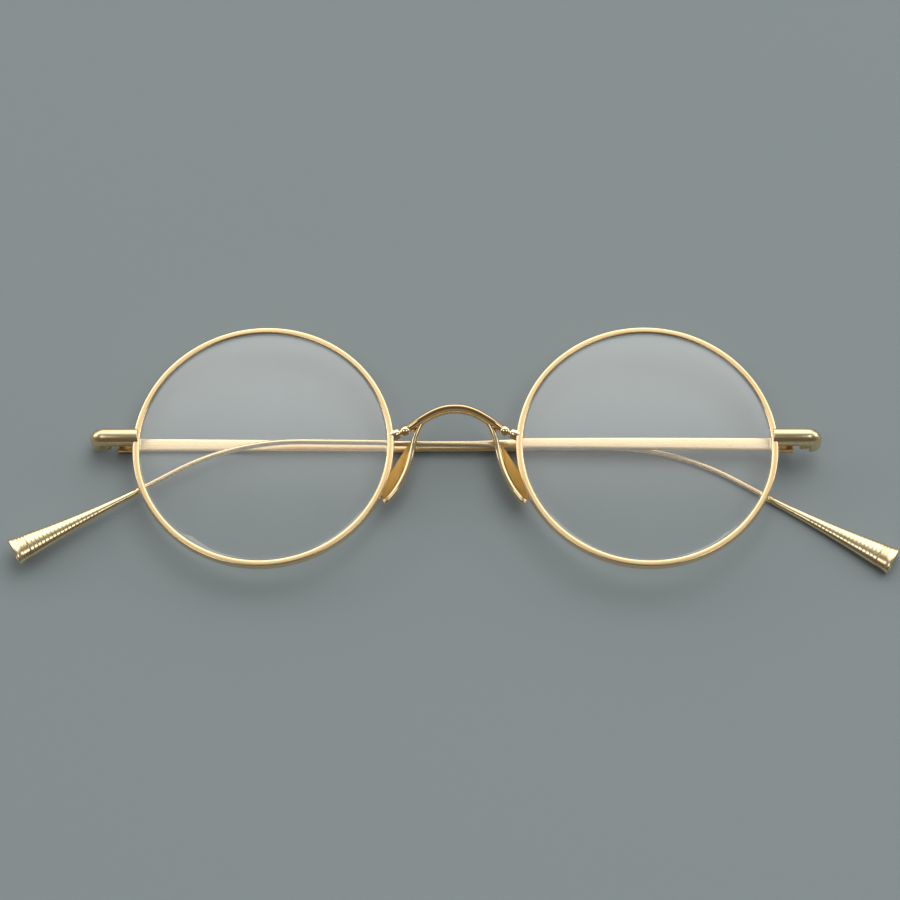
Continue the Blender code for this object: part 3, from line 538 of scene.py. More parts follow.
# %% Finishes on the hinge parts
KEPT = {
    "hinge_front_leaf": FINISHES["hinge"],
    "hinge_temple_leaf": FINISHES["hinge"],
    "hinge_screw": FINISHES["screw"],
    "lock_screw": FINISHES["screw"],
    "lock_block": FINISHES["lock"],
    "hinge_washer": POLYMER,
}

kept_count = 0
for name, node in frame["nodes"].items():
    for start, finish in KEPT.items():
        if name.startswith(start):
            node.data.materials.clear()
            node.data.materials.append(finish)
            kept_count += 1
print(kept_count, "CAD nodes keep their shape")

# %% [markdown]
# ## Tools for making skins
#
# Most parts are lofts: a section is carried along a path and changes on the way. A curve
# with a bevel could do that too, but it keeps one section, and these parts change theirs.
# The skin is closed at both ends, its normals are worked out afresh, and only real edges
# stay sharp.

# %% Lofts and lathes
SHARP = math.radians(40)
SAME_PLACE = 1e-7


def mesh_from(bm, name):
    """Closes a bmesh into a clean, smooth mesh with sharp edges where they are real."""
    bmesh.ops.remove_doubles(bm, verts=bm.verts, dist=SAME_PLACE)
    bmesh.ops.recalc_face_normals(bm, faces=bm.faces)
    mesh = bpy.data.meshes.new(name)
    bm.to_mesh(mesh)
    bm.free()
    mesh.shade_smooth()
    mesh.set_sharp_from_angle(angle=SHARP)
    return mesh


def add_walls(bm, rings):
    """The faces between rings of equal length. Returns the rows of vertices."""
    rows = [[bm.verts.new(point) for point in ring] for ring in rings]
    count = len(rows[0])
    for near, far in zip(rows, rows[1:]):
        for i in range(count):
            j = (i + 1) % count
            bm.faces.new((near[i], near[j], far[j], far[i]))
    return rows


def loft(name, rings):
    """A skin over rings of equal length, with a cap at each end."""
    bm = bmesh.new()
    rows = add_walls(bm, rings)
    bm.faces.new(rows[0])
    bm.faces.new(rows[-1])
    return mesh_from(bm, name)


def lathe(name, profile, steps):
    """A profile of (radius, z) points turned round Z. It starts and ends on the axis."""
    bm = bmesh.new()
    points = [bm.verts.new((radius, 0, z)) for radius, z in profile]
    for a, b in zip(points, points[1:]):
        bm.edges.new((a, b))
    bmesh.ops.spin(
        bm, geom=bm.verts[:] + bm.edges[:], axis=(0, 0, 1), angle=math.tau, steps=steps
    )
    return mesh_from(bm, name)


def add_piece(name, mesh, finish, body, nodes=()):
    """Puts a finished mesh on its CAD body, in place of the nodes it stands for."""
    mesh.materials.clear()
    mesh.materials.append(finish)
    mesh.name = name
    obj = place_in_scene(name, mesh)
    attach(obj, body)
    if nodes:
        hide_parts(*nodes)
    print(name, len(mesh.polygons), "faces")
    return obj


# %% Paths and sections
def oval(half_u, half_v, power, count):
    """Points round an oval. Power 2 is an ellipse, and a higher one is boxier."""
    points = []
    for i in range(count):
        angle = math.tau * i / count
        c, s = math.cos(angle), math.sin(angle)
        u = math.copysign(abs(c) ** (2 / power), c) * half_u
        v = math.copysign(abs(s) ** (2 / power), s) * half_v
        points.append((u, v))
    return points


def smooth_path(points, per_span):
    """Points along a Catmull-Rom curve through the given points."""
    ends = [2 * points[0] - points[1], *points, 2 * points[-1] - points[-2]]
    path = []
    for i in range(len(points) - 1):
        a, b, c, d = ends[i : i + 4]
        for k in range(per_span):
            t = k / per_span
            straight = 2 * b + (c - a) * t
            bend = (2 * a - 5 * b + 4 * c - d) * t**2 + (3 * b - a - 3 * c + d) * t**3
            path.append((straight + bend) / 2)
    path.append(points[-1].copy())
    return path


def tangents(path):
    """The direction of a path at each of its points."""
    before = [path[0], *path[:-1]]
    after = [*path[1:], path[-1]]
    return [(b - a).normalized() for a, b in zip(before, after)]


def mix(a, b, share):
    return a + (b - a) * share


def ease(share):
    """0 to 1 with soft ends."""
    share = min(max(share, 0.0), 1.0)
    return share * share * (3 - 2 * share)


# %% [markdown]
# ## Geometry Nodes: the rims
#
# A rim is one drawn wire bent into a circle, so it follows a rule: a rounded rectangle
# carried round a circle. A loft could make it, but a small Geometry Nodes tree says just
# that rule, with its sizes as named inputs. The result is baked into a plain mesh,
# because the finished piece has to stand without its modifier.

# %% Tree helpers
def end_tree(tree, geometry, material):
    """Every tree ends with Realize Instances and Set Material."""
    solid = add_node(tree, "GeometryNodeRealizeInstances", {0: geometry})[0]
    painted = {"Geometry": solid, "Material": material}
    result = add_node(tree, "GeometryNodeSetMaterial", painted)[0]
    add_node(tree, "NodeGroupOutput", {"Geometry": result})


def baked(name, tree, values):
    """Runs a tree on an empty mesh and returns its result as a plain mesh."""
    seed = place_in_scene(name + "_seed", bpy.data.meshes.new(name + "_seed"))
    modifier = seed.modifiers.new("Build", "NODES")
    modifier.node_group = tree
    for item in tree.interface.items_tree:
        if item.in_out == "INPUT":
            modifier[item.identifier] = values[item.name]
    bpy.context.view_layer.update()
    graph = bpy.context.evaluated_depsgraph_get()
    mesh = bpy.data.meshes.new_from_object(seed.evaluated_get(graph))
    seed.modifiers.remove(modifier)
    bpy.data.objects.remove(seed)
    bm = bmesh.new()
    bm.from_mesh(mesh)
    return mesh_from(bm, name)


# %% The rim tree
FILLET_POINTS = 5
RESULT = {"Geometry": "Geometry"}


def make_rim_tree():
    """A rounded rectangle carried round a circle."""
    inputs = {
        "Radius": "Float",
        "Width": "Float",
        "Depth": "Float",
        "Edge Radius": "Float",
        "Steps": "Int",
        "Material": "Material",
    }
    tree, given = group_tree("GeometryNodeTree", "rim_wire", inputs, RESULT)
    bend = {"Resolution": given["Steps"], "Radius": given["Radius"]}
    circle = add_node(tree, "GeometryNodeCurvePrimitiveCircle", bend)[0]
    sides = {"Width": given["Width"], "Height": given["Depth"]}
    section = add_node(tree, "GeometryNodeCurvePrimitiveQuadrilateral", sides)[0]
    corners = {"Curve": section, "Radius": given["Edge Radius"], "Count": FILLET_POINTS}
    fillet = add_node(tree, "GeometryNodeFilletCurve", corners, mode="POLY")[0]
    wire = {"Curve": circle, "Profile Curve": fillet}
    sweep = add_node(tree, "GeometryNodeCurveToMesh", wire)[0]
    end_tree(tree, sweep, given["Material"])
    return tree


RIM_TREE = make_rim_tree()
print("tree:", RIM_TREE.name)

# %% The rims
RIM_INNER = 22.65 * MM
RIM_OUTER = 23.85 * MM
RIM_DEPTH = 1.8 * MM
RIM_EDGE = 0.3 * MM
RIM_STEPS = 288

for label, side in SIDES.items():
    finish = FINISHES["rim_" + label]
    sizes = {
        "Radius": (RIM_INNER + RIM_OUTER) / 2,
        "Width": RIM_OUTER - RIM_INNER,
        "Depth": RIM_DEPTH,
        "Edge Radius": RIM_EDGE,
        "Steps": RIM_STEPS,
        "Material": finish,
    }
    mesh = baked("rim_" + label, RIM_TREE, sizes)
    mesh.transform(FRONT @ Matrix.Translation((side * LENS_X, 0, 0)))
    add_piece("rim_wire_" + label, mesh, finish, "front", ["rim_" + label])

# %% [markdown]
# ## The lenses
#
# A demo lens is a thin meniscus with hardly any power: both faces curve the same way. It
# could be cut from two spheres, but a round lens is simpler to turn from its profile,
# with a bevelled edge that sits in the groove of the rim.

# %% Lenses
LENS_RADIUS = 23.0 * MM
LENS_GAP = 0.02 * MM  # between the face of the lens and the rim
LENS_THICKNESS = 1.6 * MM
LENS_CURVE = 130.0 * MM
LENS_EDGE = 1.1 * MM
LENS_BEVEL = 0.3 * MM
LENS_RIDGE = 0.4 * MM  # the safety bevel round the front face
LENS_RIDGE_DROP = 0.14 * MM
LENS_RINGS = 16
LENS_STEPS = 160


def lens_profile():
    """(radius, z) from the middle of the front face round the edge to the back."""
    land = RIM_INNER - LENS_GAP
    half = LENS_EDGE / 2
    apex = half + land**2 / (2 * LENS_CURVE)
    back_apex = apex - LENS_THICKNESS
    front, back = [], []
    for i in range(LENS_RINGS + 1):
        radius = (land - LENS_RIDGE) * i / LENS_RINGS
        front.append((radius, apex - radius**2 / (2 * LENS_CURVE)))
        radius = land * i / LENS_RINGS
        back.append((radius, mix(back_apex, -half, (radius / land) ** 2)))
    front.append((land, front[-1][1] - LENS_RIDGE_DROP))
    edge = [(LENS_RADIUS, LENS_BEVEL / 2), (LENS_RADIUS, -LENS_BEVEL / 2)]
    return [*front, *edge, *reversed(back)]


for label, side in SIDES.items():
    mesh = lathe("lens", lens_profile(), LENS_STEPS)
    mesh.transform(FRONT @ Matrix.Translation((side * LENS_X, 0, 0)))
    add_piece("clear_lens_" + label, mesh, LENS, "front", ["lens_" + label])

# %% [markdown]
# ## The end pieces
#
# Each corner is a half-round trough pressed from sheet. It starts over the rim, runs
# out, turns back round the corner and hides the hinge. A bent sheet with a Solidify
# modifier could make it, but the wall would pinch in the small bend. The section is drawn
# whole instead, a half-round outside and a smaller one inside, and carried round.

# %% Sizes of the end pieces
TROUGH_CROWN = 1.6 * MM
TROUGH_WALL = 0.5 * MM
TROUGH_SIDE = 0.6 * MM
TROUGH_BEND = 1.3 * MM
TROUGH_REAR = 3.2 * MM
TROUGH_OVERLAP = 1.05 * MM
TROUGH_ROUNDING = 0.14 * MM
FRONT_HALF = 67.05 * MM
TROUGH_X = FRONT_HALF - TROUGH_CROWN
MOUTH_LEAN = 0.16  # of the open end over the rim
ROUNDED_ANGLE = math.radians(50)  # edges that turn more than this are rounded
ROUNDED_STEPS = 3


def trough_section(steps=20):
    """(height, outward) round the outside of the sheet and back along its inside."""
    cavity = TROUGH_CROWN - TROUGH_WALL
    outside = [(-TROUGH_CROWN, -TROUGH_SIDE)]
    inside = [(-cavity, -TROUGH_SIDE)]
    for i in range(steps + 1):
        angle = math.pi * (1 - i / steps)
        outside.append((TROUGH_CROWN * math.cos(angle), TROUGH_CROWN * math.sin(angle)))
        inside.append((cavity * math.cos(angle), cavity * math.sin(angle)))
    outside.append((TROUGH_CROWN, -TROUGH_SIDE))
    inside.append((cavity, -TROUGH_SIDE))
    return outside + inside[::-1]


def trough_stations(steps=14):
    """(x, z, turn) from the open end round the corner to the rear."""
    stations = [(LENS_X + RIM_OUTER - TROUGH_OVERLAP, 0.0, 0.0)]
    corner = TROUGH_X - TROUGH_BEND
    for i in range(steps + 1):
        turn = math.radians(90) * i / steps
        x = corner + TROUGH_BEND * math.sin(turn)
        stations.append((x, TROUGH_BEND * (math.cos(turn) - 1), turn))
    stations.append((TROUGH_X, -TROUGH_REAR, math.radians(90)))
    return stations


# %% End pieces
def rounded(name, mesh):
    """The mesh with its sharp edges rounded off."""
    obj = place_in_scene(name, mesh)
    bevel = obj.modifiers.new("Rounding", "BEVEL")
    bevel.width = TROUGH_ROUNDING
    bevel.segments = ROUNDED_STEPS
    bevel.limit_method = "ANGLE"
    bevel.angle_limit = ROUNDED_ANGLE
    bpy.context.view_layer.update()
    graph = bpy.context.evaluated_depsgraph_get()
    result = bpy.data.meshes.new_from_object(obj.evaluated_get(graph))
    bpy.data.objects.remove(obj)
    result.shade_smooth()
    result.set_sharp_from_angle(angle=SHARP)
    return result


def strip_caps(bm, row):
    """Closes a channel section with a row of quads across its wall."""
    count = len(row)
    for i in range(count // 2 - 1):
        bm.faces.new((row[i], row[i + 1], row[count - 2 - i], row[count - 1 - i]))


def make_end_piece(side):
    rings = []
    for number, (x, z, turn) in enumerate(trough_stations()):
        lean = MOUTH_LEAN if number == 0 else 0.0
        ring = []
        for height, out in trough_section():
            along = side * (x + out * (math.sin(turn) + lean))
            place = Vector((along, HINGE_HEIGHT + height, z + out * math.cos(turn)))
            ring.append(FRONT @ place)
        rings.append(ring)
    bm = bmesh.new()
    rows = add_walls(bm, rings)
    strip_caps(bm, rows[0])
    strip_caps(bm, rows[-1])
    return rounded("corner", mesh_from(bm, "corner"))


for label, side in SIDES.items():
    add_piece(
        "corner_trough_" + label,
        make_end_piece(side),
        FINISHES["end_piece"],
        "front",
        ["end_piece_" + label],
    )

# %% [markdown]
# ## The bridge
#
# The arch over the nose is a solid, polished bar, rounder in the middle and thinner at
# its ends. It could be cut from a block, but a highlight runs along the whole of it, and
# a loft along one smooth path keeps that line unbroken.

# %% The arch
ARCH_REACH = 9.1 * MM
ARCH_TOP = 6.8 * MM
ARCH_END = 3.2 * MM
ARCH_FORWARD = 1.4 * MM
ARCH_SHARES = (1.0, 0.9, 0.79, 0.64, 0.42, 0.2, 0.0)
ARCH_RISES = (0.0, 0.1, 0.28, 0.51, 0.79, 0.96, 1.0)
ARCH_THICKNESS = 1.36 * MM
ARCH_DEPTH = 2.75 * MM
ARCH_END_LOSS = (0.24, 0.44)  # share of thickness and depth that its ends lack
ARCH_POWER = 2.25
ARCH_SIDES = 32
ARCH_STEPS = 10  # from one point of the path to the next


def arch_points():
    """The path, mirrored from its right half."""
    half = []
    for share, rise in zip(ARCH_SHARES, ARCH_RISES):
        y = mix(ARCH_END, ARCH_TOP, rise)
        half.append(Vector((-ARCH_REACH * share, y, ARCH_FORWARD * rise)))
    return half + [Vector((-p.x, p.y, p.z)) for p in reversed(half[:-1])]


def swept_rings(path, sections, up):
    """Sections of (u, v) set square to a path: u lies across up, v along it."""
    rings = []
    for point, along, section in zip(path, tangents(path), sections):
        across = up.cross(along).normalized()
        rise = along.cross(across).normalized()
        rings.append([FRONT @ (point + across * u + rise * v) for u, v in section])
    return rings


def make_arch():
    path = smooth_path(arch_points(), ARCH_STEPS)
    middle = (len(path) - 1) / 2
    sections = []
    for i in range(len(path)):
        end = abs(i - middle) / middle
        thickness = ARCH_THICKNESS / 2 * (1 - ARCH_END_LOSS[0] * end**4)
        depth = ARCH_DEPTH / 2 * (1 - ARCH_END_LOSS[1] * end**3)
        sections.append(oval(thickness, depth, ARCH_POWER, ARCH_SIDES))
    return loft("arch", swept_rings(path, sections, Vector((0, 0, 1))))


add_piece("bridge_arch", make_arch(), FINISHES["bridge"], "front", ["bridge"])

# %% [markdown]
# ## The feet
#
# A foot with a neck and a small ball joins the arch to each rim. Such a part is turned on
# a lathe, so it is made the same way here: a profile turned round its axis.

# %% The feet
FOOT_PROFILE = [
    # from the rim inwards in millimetres: distance, radius
    (-0.6, 0.0),
    (-0.6, 0.95),
    (0.2, 1.0),
    (0.85, 1.0),
    (1.0, 0.9),
    (1.1, 0.55),
    (1.22, 0.44),
    (1.36, 0.5),
    (1.46, 0.72),
    (1.7, 0.88),
    (2.05, 0.95),
    (2.45, 0.95),
    (2.8, 0.83),
    (3.05, 0.55),
    (3.15, 0.0),
]
FOOT_RISE = 2.2 * MM
BALL_RISE = 3.45 * MM
BALL_FORWARD = 0.1 * MM
FOOT_STEPS = 40


def make_foot(side):
    profile = [(radius * MM, distance * MM) for distance, radius in FOOT_PROFILE]
    mesh = lathe("foot", profile, FOOT_STEPS)
    rim_x = LENS_X - RIM_OUTER
    tip_x = rim_x - FOOT_PROFILE[-1][0] * MM
    start = Vector((side * rim_x, FOOT_RISE, 0))
    end = Vector((side * tip_x, BALL_RISE, BALL_FORWARD))
    turn = (end - start).to_track_quat("Z", "Y").to_matrix().to_4x4()
    mesh.transform(FRONT @ Matrix.Translation(start) @ turn)
    return mesh


for label, side in SIDES.items():
    add_piece(
        "bridge_foot_turned_" + label,
        make_foot(side),
        FINISHES["foot"],
        "front",
        ["bridge_foot_" + label],
    )

# %% [markdown]
# ## The nose pads
#
# Each pad hangs from the underside of the arch on a stem that widens into a metal leaf,
# with a polished bead along its front edge. Stem, leaf and bead could be three pieces,
# but on the real part they are one pressing, so one loft changes its section on the way.
# The faces behind the bead then take a second, satin finish. Its orange colour is
# painted reflection of the light bounced between the gold parts.

# %% The path and the section of a pad
PAD_POINTS = [
    # millimetres: x, y, z
    (3.6, 5.95, 0.9),
    (4.9, 5.2, 0.8),
    (5.9, 4.2, 0.6),
    (6.5, 3.0, 0.35),
    (6.95, 1.6, 0.1),
    (7.35, -0.2, -0.2),
    (7.95, -2.8, -0.4),
    (8.9, -5.6, -0.5),
    (10.2, -8.2, -0.6),
    (11.7, -10.2, -0.7),
    (12.7, -10.95, -0.8),
]
PAD_WIDTH = 4.6 * MM
PAD_SPLAY = (math.radians(40), math.radians(52))  # at the stem, at the lower end
PAD_BEAD = 0.54 * MM
PAD_PLATE = 0.26 * MM
STEM_WIDTH = 1.15 * MM
STEM_SHARE = 0.42
LEAF_SHARPNESS = 1.4  # of the leaf's shoulders
LEAF_ROUNDNESS = 2.4  # of its lower end
PAD_STEPS = 8  # from one point of the path to the next


def pad_width(t):
    """A plain stem, then a leaf that widens and comes to a round end."""
    if t < STEM_SHARE:
        return STEM_WIDTH
    u = (t - STEM_SHARE) / (1 - STEM_SHARE)
    if u < 0.5:
        return mix(STEM_WIDTH, PAD_WIDTH, math.sin(math.pi * u) ** LEAF_SHARPNESS)
    fullness = math.sqrt(max(1 - (2 * u - 1) ** LEAF_ROUNDNESS, 0.0))
    return mix(STEM_WIDTH, PAD_WIDTH, fullness)


def pad_section(width, steps=16):
    """A plate with a bead along its front edge, as (from the front edge, thickness)."""
    top = []
    for i in range(steps + 1):
        distance = width * (1 - math.cos(math.pi * i / steps)) / 2
        bead = math.sqrt(max(PAD_BEAD**2 - (distance - PAD_BEAD) ** 2, 0.0))
        plate = PAD_PLATE if distance > PAD_BEAD else 0.0
        end = math.sqrt(max(1 - ((distance - width + PAD_PLATE) / PAD_PLATE) ** 2, 0.0))
        if distance > width - PAD_PLATE:
            plate = PAD_PLATE * end
            bead = min(bead, plate)
        top.append((distance, max(bead, plate)))
    return top + [(u, -v) for u, v in reversed(top[1:-1])]


# %% The nose pads
def make_pad(side):
    points = [Vector((side * x, y, z)) * MM for x, y, z in PAD_POINTS]
    path = smooth_path(points, PAD_STEPS)
    rings = []
    last = len(path) - 1
    for i, (point, along) in enumerate(zip(path, tangents(path))):
        splay = mix(*PAD_SPLAY, i / last)
        back = Vector((side * math.sin(splay), 0, -math.cos(splay)))
        thick = along.cross(back).normalized()
        wide = thick.cross(along).normalized()
        if wide.dot(back) < 0:
            wide = -wide
        width = pad_width(i / last)
        ring = [FRONT @ (point + wide * u + thick * v) for u, v in pad_section(width)]
        rings.append(ring)
    return loft("pad", rings)


def paint_faces(mesh):
    """The leaf behind the bead takes the second finish, whose orange is painted reflection."""
    bead_end = 2 * PAD_BEAD - 0.01 * MM
    count = len(pad_section(PAD_WIDTH))
    spans = len(mesh.polygons) // count
    for face in mesh.polygons:
        if len(face.vertices) == 4:
            ring, place = divmod(face.index, count)
            width = pad_width(ring / spans)
            if pad_section(width)[place][0] > bead_end:
                face.material_index = 1


for label, side in SIDES.items():
    pad = add_piece(
        "nose_pad_leaf_" + label,
        make_pad(side),
        FINISHES["pad"],
        "front",
        ["nose_pad_" + label],
    )
    pad.data.materials.append(FINISHES["pad_painted_reflection"])
    paint_faces(pad.data)

# %% [markdown]
# ## The temples
#
# Each temple begins as a flat strip beside the hinge. After 50 mm it is drawn down to a
# round wire, bends for the ear, and ends in the flared tip. Strip and wire could be two
# pieces, but the seam would show. It is lofted from the butt to the sleeve in one skin,
# with close stations where the section changes.

# %% The temple's centreline
STRIP_OUTER = 3.0 * MM
STRIP_HEIGHT = 2.5 * MM
STRIP_END_HEIGHT = 1.95 * MM
STRIP_THICKNESS = 0.85 * MM
STRIP_LENGTH = 50.0 * MM
STRIP_TO_WIRE = 11.0 * MM
BUTT = 1.65 * MM
WIRE_START = 1.3 * MM
WIRE_TAPER = 15.0 * MM
WIRE = 1.0 * MM
BEND_START = 92.0 * MM
BEND_RADIUS = 46.0 * MM
BEND_ANGLE = math.radians(29.8)
TEMPLE_LENGTH = 148.5 * MM
SLEEVE_LENGTH = 25.5 * MM
SLEEVE_START = TEMPLE_LENGTH - SLEEVE_LENGTH
WIRE_OVERLAP = 1.5 * MM  # of the wire's end inside the sleeve


def station(along):
    """(distance from the pin, height, downward angle) at a length along the temple."""
    if along <= BEND_START:
        return along, 0.0, 0.0
    angle = min((along - BEND_START) / BEND_RADIUS, BEND_ANGLE)
    rest = max(along - BEND_START - BEND_RADIUS * BEND_ANGLE, 0.0)
    reach = BEND_START + BEND_RADIUS * math.sin(angle) + rest * math.cos(angle)
    drop = BEND_RADIUS * (1 - math.cos(angle)) + rest * math.sin(angle)
    return reach, -drop, angle


def temple_point(label, along, up, out):
    """A point beside the centreline: up the temple's height, and out from the pin."""
    side = SIDES[label]
    reach, height, angle = station(along)
    x = -side * (reach + up * math.sin(angle))
    return PINS[label] + Vector((x, height + up * math.cos(angle), -out))


print("a temple reaches", round(station(TEMPLE_LENGTH)[0] / MM, 1), "mm from its pin")

# %% Strip and wire
BOXY = 7.0  # powers of the oval
ROUND = 2.0
BUTT_SHARES = (0.93, 0.85)  # of height and thickness, at the rounded butt
BUTT_ROUNDING = 0.12 * MM
TEMPLE_SIDES = 28
POWER_EASE = 0.6  # under 1 the section turns round early
STRIP_STEPS = 8
DRAWN_STEPS = 16
TAPER_STEPS = 6
WIRE_STEPS = 24


def shares(steps):
    """Even steps from just after 0 up to 1."""
    return [i / steps for i in range(1, steps + 1)]


def temple_sections():
    """(along, half height, half thickness, power) from the butt to the sleeve."""
    tall, half, wire = STRIP_HEIGHT / 2, STRIP_THICKNESS / 2, WIRE / 2
    rows = [(BUTT, tall * BUTT_SHARES[0], half * BUTT_SHARES[1], BOXY)]
    rows.append((BUTT + BUTT_ROUNDING, tall, half, BOXY))
    for share in shares(STRIP_STEPS):
        height = mix(STRIP_HEIGHT, STRIP_END_HEIGHT, share) / 2
        rows.append((mix(BUTT, STRIP_LENGTH, share), height, half, BOXY))
    for step in shares(DRAWN_STEPS):
        share = ease(step)
        height = mix(STRIP_END_HEIGHT, WIRE_START, share) / 2
        power = mix(BOXY, ROUND, share**POWER_EASE)
        along = STRIP_LENGTH + STRIP_TO_WIRE * step
        rows.append((along, height, mix(half, wire, share), power))
    wire_start = STRIP_LENGTH + STRIP_TO_WIRE
    for share in shares(TAPER_STEPS):
        height = mix(WIRE_START, WIRE, share) / 2
        rows.append((wire_start + WIRE_TAPER * share, height, wire, ROUND))
    for share in shares(WIRE_STEPS):
        along = mix(wire_start + WIRE_TAPER, SLEEVE_START + WIRE_OVERLAP, share)
        rows.append((along, wire, wire, ROUND))
    return rows


def make_temple(label):
    rings = []
    for along, half_height, half_out, power in temple_sections():
        centre = STRIP_OUTER - half_out
        section = oval(half_height, half_out, power, TEMPLE_SIDES)
        rings.append([temple_point(label, along, up, centre + out) for up, out in section])
    return loft("temple", rings)


for label in SIDES:
    add_piece(
        "temple_wire_" + label,
        make_temple(label),
        FINISHES["temple"],
        "temple_" + label,
        ["temple_" + label],
    )

# %% [markdown]
# ## The flared tips
#
# A tip is a cone with an oval end, pushed over the wire. It has a collar where the wire
# enters, ring grooves near the end, a raised lip and a hollow end face. The grooves could
# be cut with Boolean modifiers, but it is surer to let the loft step in and out.

# %% The cone
SLEEVE_MOUTH = 1.26 * MM
SLEEVE_END_WIDTH = 5.2 * MM
SLEEVE_END_THICKNESS = 3.0 * MM
SLEEVE_FLARE = 1.75
SLEEVE_SIDES = 48


def sleeve_size(share):
    """Half width, half thickness and outward place of the sleeve."""
    flare = share**SLEEVE_FLARE
    half_width = mix(SLEEVE_MOUTH, SLEEVE_END_WIDTH, flare) / 2
    half_out = mix(SLEEVE_MOUTH, SLEEVE_END_THICKNESS, flare) / 2
    return half_width, half_out, min(STRIP_OUTER - half_out, STRIP_OUTER - WIRE / 2)


def sleeve_ring(label, distance, sink):
    """The ring at a distance along the sleeve, sunk below its plain skin."""
    half_width, half_out, outward = sleeve_size(min(distance / SLEEVE_LENGTH, 1.0))
    ring = []
    for up, out in oval(half_width - sink, half_out - sink, ROUND, SLEEVE_SIDES):
        ring.append(temple_point(label, SLEEVE_START + distance, up, outward + out))
    return ring


# %% Collar, grooves and lip
COLLAR = [
    # millimetres: distance along the sleeve, depth below its plain skin
    (0.0, 0.2),
    (0.1, 0.02),
    (0.5, -0.06),
    (0.9, -0.06),
    (1.0, 0.1),
    (1.25, 0.1),
    (1.35, 0.0),
]
CONE_STEPS = 30
GROOVE_DEPTH = 0.14 * MM
GROOVE_WIDTH = 0.28 * MM
GROOVE_SLOPE = 0.08 * MM
GROOVE_PITCH = 0.62 * MM
GROOVE_FIRST = 22.6 * MM
GROOVES = 3
LIP = 0.07 * MM
LIP_PLACES = (0.7 * MM, 0.55 * MM, 0.25 * MM)  # its foot and its top, from the end
HOLLOW_WALL = 0.34 * MM
HOLLOW_DEPTH = 1.2 * MM
HOLLOW_DRAFT = 0.1 * MM  # how much narrower the hollow is at its floor
END_ROUNDING = 0.08 * MM
END_SINK = 0.06 * MM


def sleeve_stations():
    """(distance along the sleeve, depth below its plain skin)."""
    rows = [(distance * MM, sink * MM) for distance, sink in COLLAR]
    collar_end = rows[-1][0]
    for share in shares(CONE_STEPS)[:-1]:
        rows.append((mix(collar_end, GROOVE_FIRST, share), 0.0))
    for i in range(GROOVES):
        near = GROOVE_FIRST + i * GROOVE_PITCH
        far = near + GROOVE_WIDTH
        rows += [(near, 0.0), (near + GROOVE_SLOPE, GROOVE_DEPTH)]
        rows += [(far - GROOVE_SLOPE, GROOVE_DEPTH), (far, 0.0)]
    end = SLEEVE_LENGTH
    rows += [(end - place, sink) for place, sink in zip(LIP_PLACES, (0.0, -LIP, -LIP))]
    rows += [(end - END_ROUNDING, -LIP / 2), (end, END_SINK)]
    rows += [(end, HOLLOW_WALL - END_ROUNDING), (end - END_ROUNDING, HOLLOW_WALL)]
    rows.append((end - HOLLOW_DEPTH, HOLLOW_WALL + HOLLOW_DRAFT))
    return rows


def make_sleeve(label):
    return loft("sleeve", [sleeve_ring(label, d, sink) for d, sink in sleeve_stations()])


for label in SIDES:
    add_piece(
        "tip_cone_" + label,
        make_sleeve(label),
        FINISHES["sleeve"],
        "temple_" + label,
        ["tip_sleeve_" + label],
    )

# %% [markdown]
# ## Geometry Nodes: the engraved ribs
#
# Between the collar and the grooves each tip carries fine cross ribs at an even pitch.
# An array could repeat them, but each has to fit the cone where it stands. A tree sets
# one thin ring on each point of a line, and scales it to the cone at that place with the
# same widening rule as the cone's own.

# %% The rib tree
RIB_LENGTHWISE = 4.2 * MM  # a ring's scale along the sleeve
RIB_SIDES = 40
BEAD_SIDES = 6


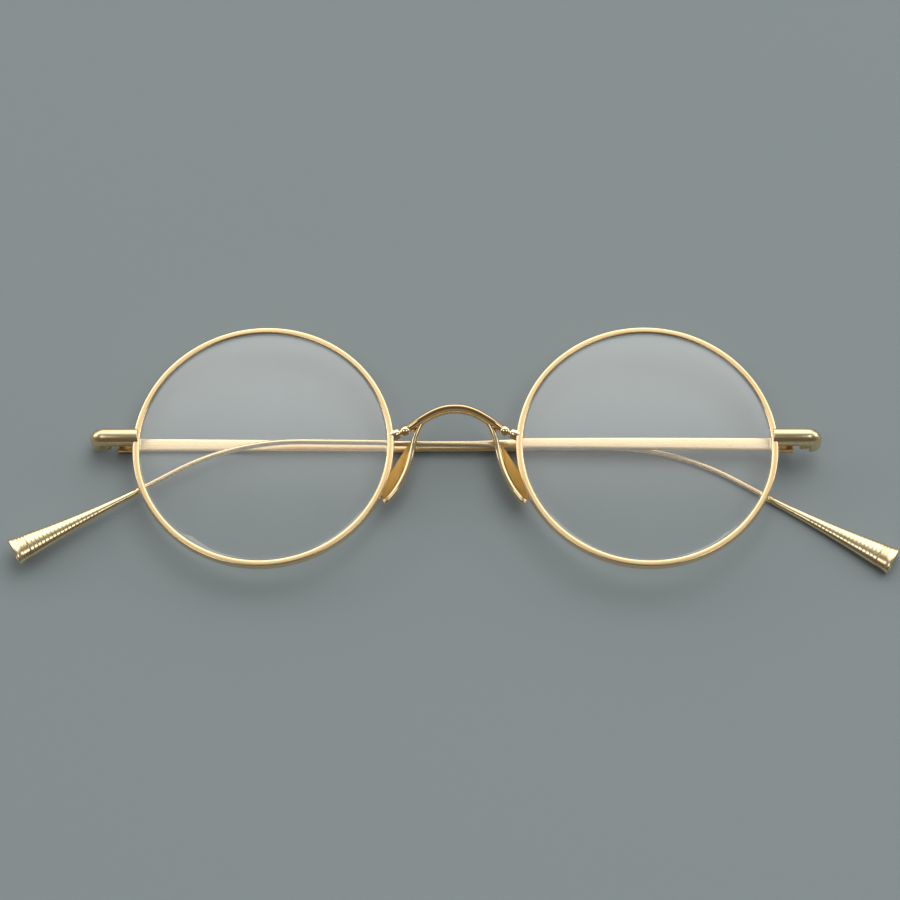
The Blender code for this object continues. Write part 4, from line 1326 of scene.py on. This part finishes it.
def make_rib_tree():
    """Thin rings along a line, each scaled to the cone at its place."""
    inputs = {
        "Count": "Int",
        "First": "Float",
        "Pitch": "Float",
        "Length": "Float",
        "Mouth": "Float",
        "End Width": "Float",
        "End Thickness": "Float",
        "Flare": "Float",
        "Rib Size": "Float",
        "Material": "Material",
    }
    tree, given = group_tree("GeometryNodeTree", "tip_ribs", inputs, RESULT)
    index = add_node(tree, "GeometryNodeInputIndex")[0]
    step = math_node(tree, "MULTIPLY", index, given["Pitch"])
    distance = math_node(tree, "ADD", step, given["First"])
    share = math_node(tree, "DIVIDE", distance, given["Length"])
    flare = math_node(tree, "POWER", share, given["Flare"])
    halves = []
    for end_size in ("End Width", "End Thickness"):
        growth = math_node(tree, "SUBTRACT", given[end_size], given["Mouth"])
        grown = math_node(tree, "MULTIPLY", growth, flare)
        size = math_node(tree, "ADD", grown, given["Mouth"])
        halves.append(math_node(tree, "MULTIPLY", size, 0.5))
    line = add_node(tree, "GeometryNodeMeshLine", {"Count": given["Count"]})[0]
    inward = math_node(tree, "MULTIPLY", halves[1], -1.0)
    place = add_node(tree, "ShaderNodeCombineXYZ", {"Y": inward, "Z": distance})[0]
    points = add_node(tree, "GeometryNodeSetPosition", {"Geometry": line, "Position": place})[0]
    round_it = {"Resolution": RIB_SIDES, "Radius": 1.0}
    ring = add_node(tree, "GeometryNodeCurvePrimitiveCircle", round_it)[0]
    thin = {"Resolution": BEAD_SIDES, "Radius": given["Rib Size"]}
    bead = add_node(tree, "GeometryNodeCurvePrimitiveCircle", thin)[0]
    wire = {"Curve": ring, "Profile Curve": bead}
    rib = add_node(tree, "GeometryNodeCurveToMesh", wire)[0]
    scale = {"X": halves[0], "Y": halves[1], "Z": RIB_LENGTHWISE}
    size = add_node(tree, "ShaderNodeCombineXYZ", scale)[0]
    setting = {"Points": points, "Instance": rib, "Scale": size}
    ribs = add_node(tree, "GeometryNodeInstanceOnPoints", setting)[0]
    end_tree(tree, ribs, given["Material"])
    return tree


RIB_TREE = make_rib_tree()
print("tree:", RIB_TREE.name)

# %% The ribs
RIB_SIZES = {
    "Count": 19,
    "First": 8.9 * MM,
    "Pitch": 0.76 * MM,
    "Length": SLEEVE_LENGTH,
    "Mouth": SLEEVE_MOUTH,
    "End Width": SLEEVE_END_WIDTH,
    "End Thickness": SLEEVE_END_THICKNESS,
    "Flare": SLEEVE_FLARE,
    "Rib Size": 0.046,  # share of the ring's radius
    "Material": FINISHES["sleeve"],
}


def sleeve_frame(label):
    """Z along the sleeve, X up its width, Y outward, from its mouth on the outer plane."""
    start = temple_point(label, SLEEVE_START, 0, STRIP_OUTER)
    along = (temple_point(label, TEMPLE_LENGTH, 0, STRIP_OUTER) - start).normalized()
    inward = Vector((0, 0, 1))
    up = inward.cross(along)
    place = Matrix((up, -inward, along)).transposed().to_4x4()
    place.translation = start
    return place


for label in SIDES:
    mesh = baked("ribs", RIB_TREE, RIB_SIZES)
    mesh.transform(sleeve_frame(label))
    body = "temple_" + label
    add_piece("tip_ribs_" + label, mesh, FINISHES["sleeve"], body)
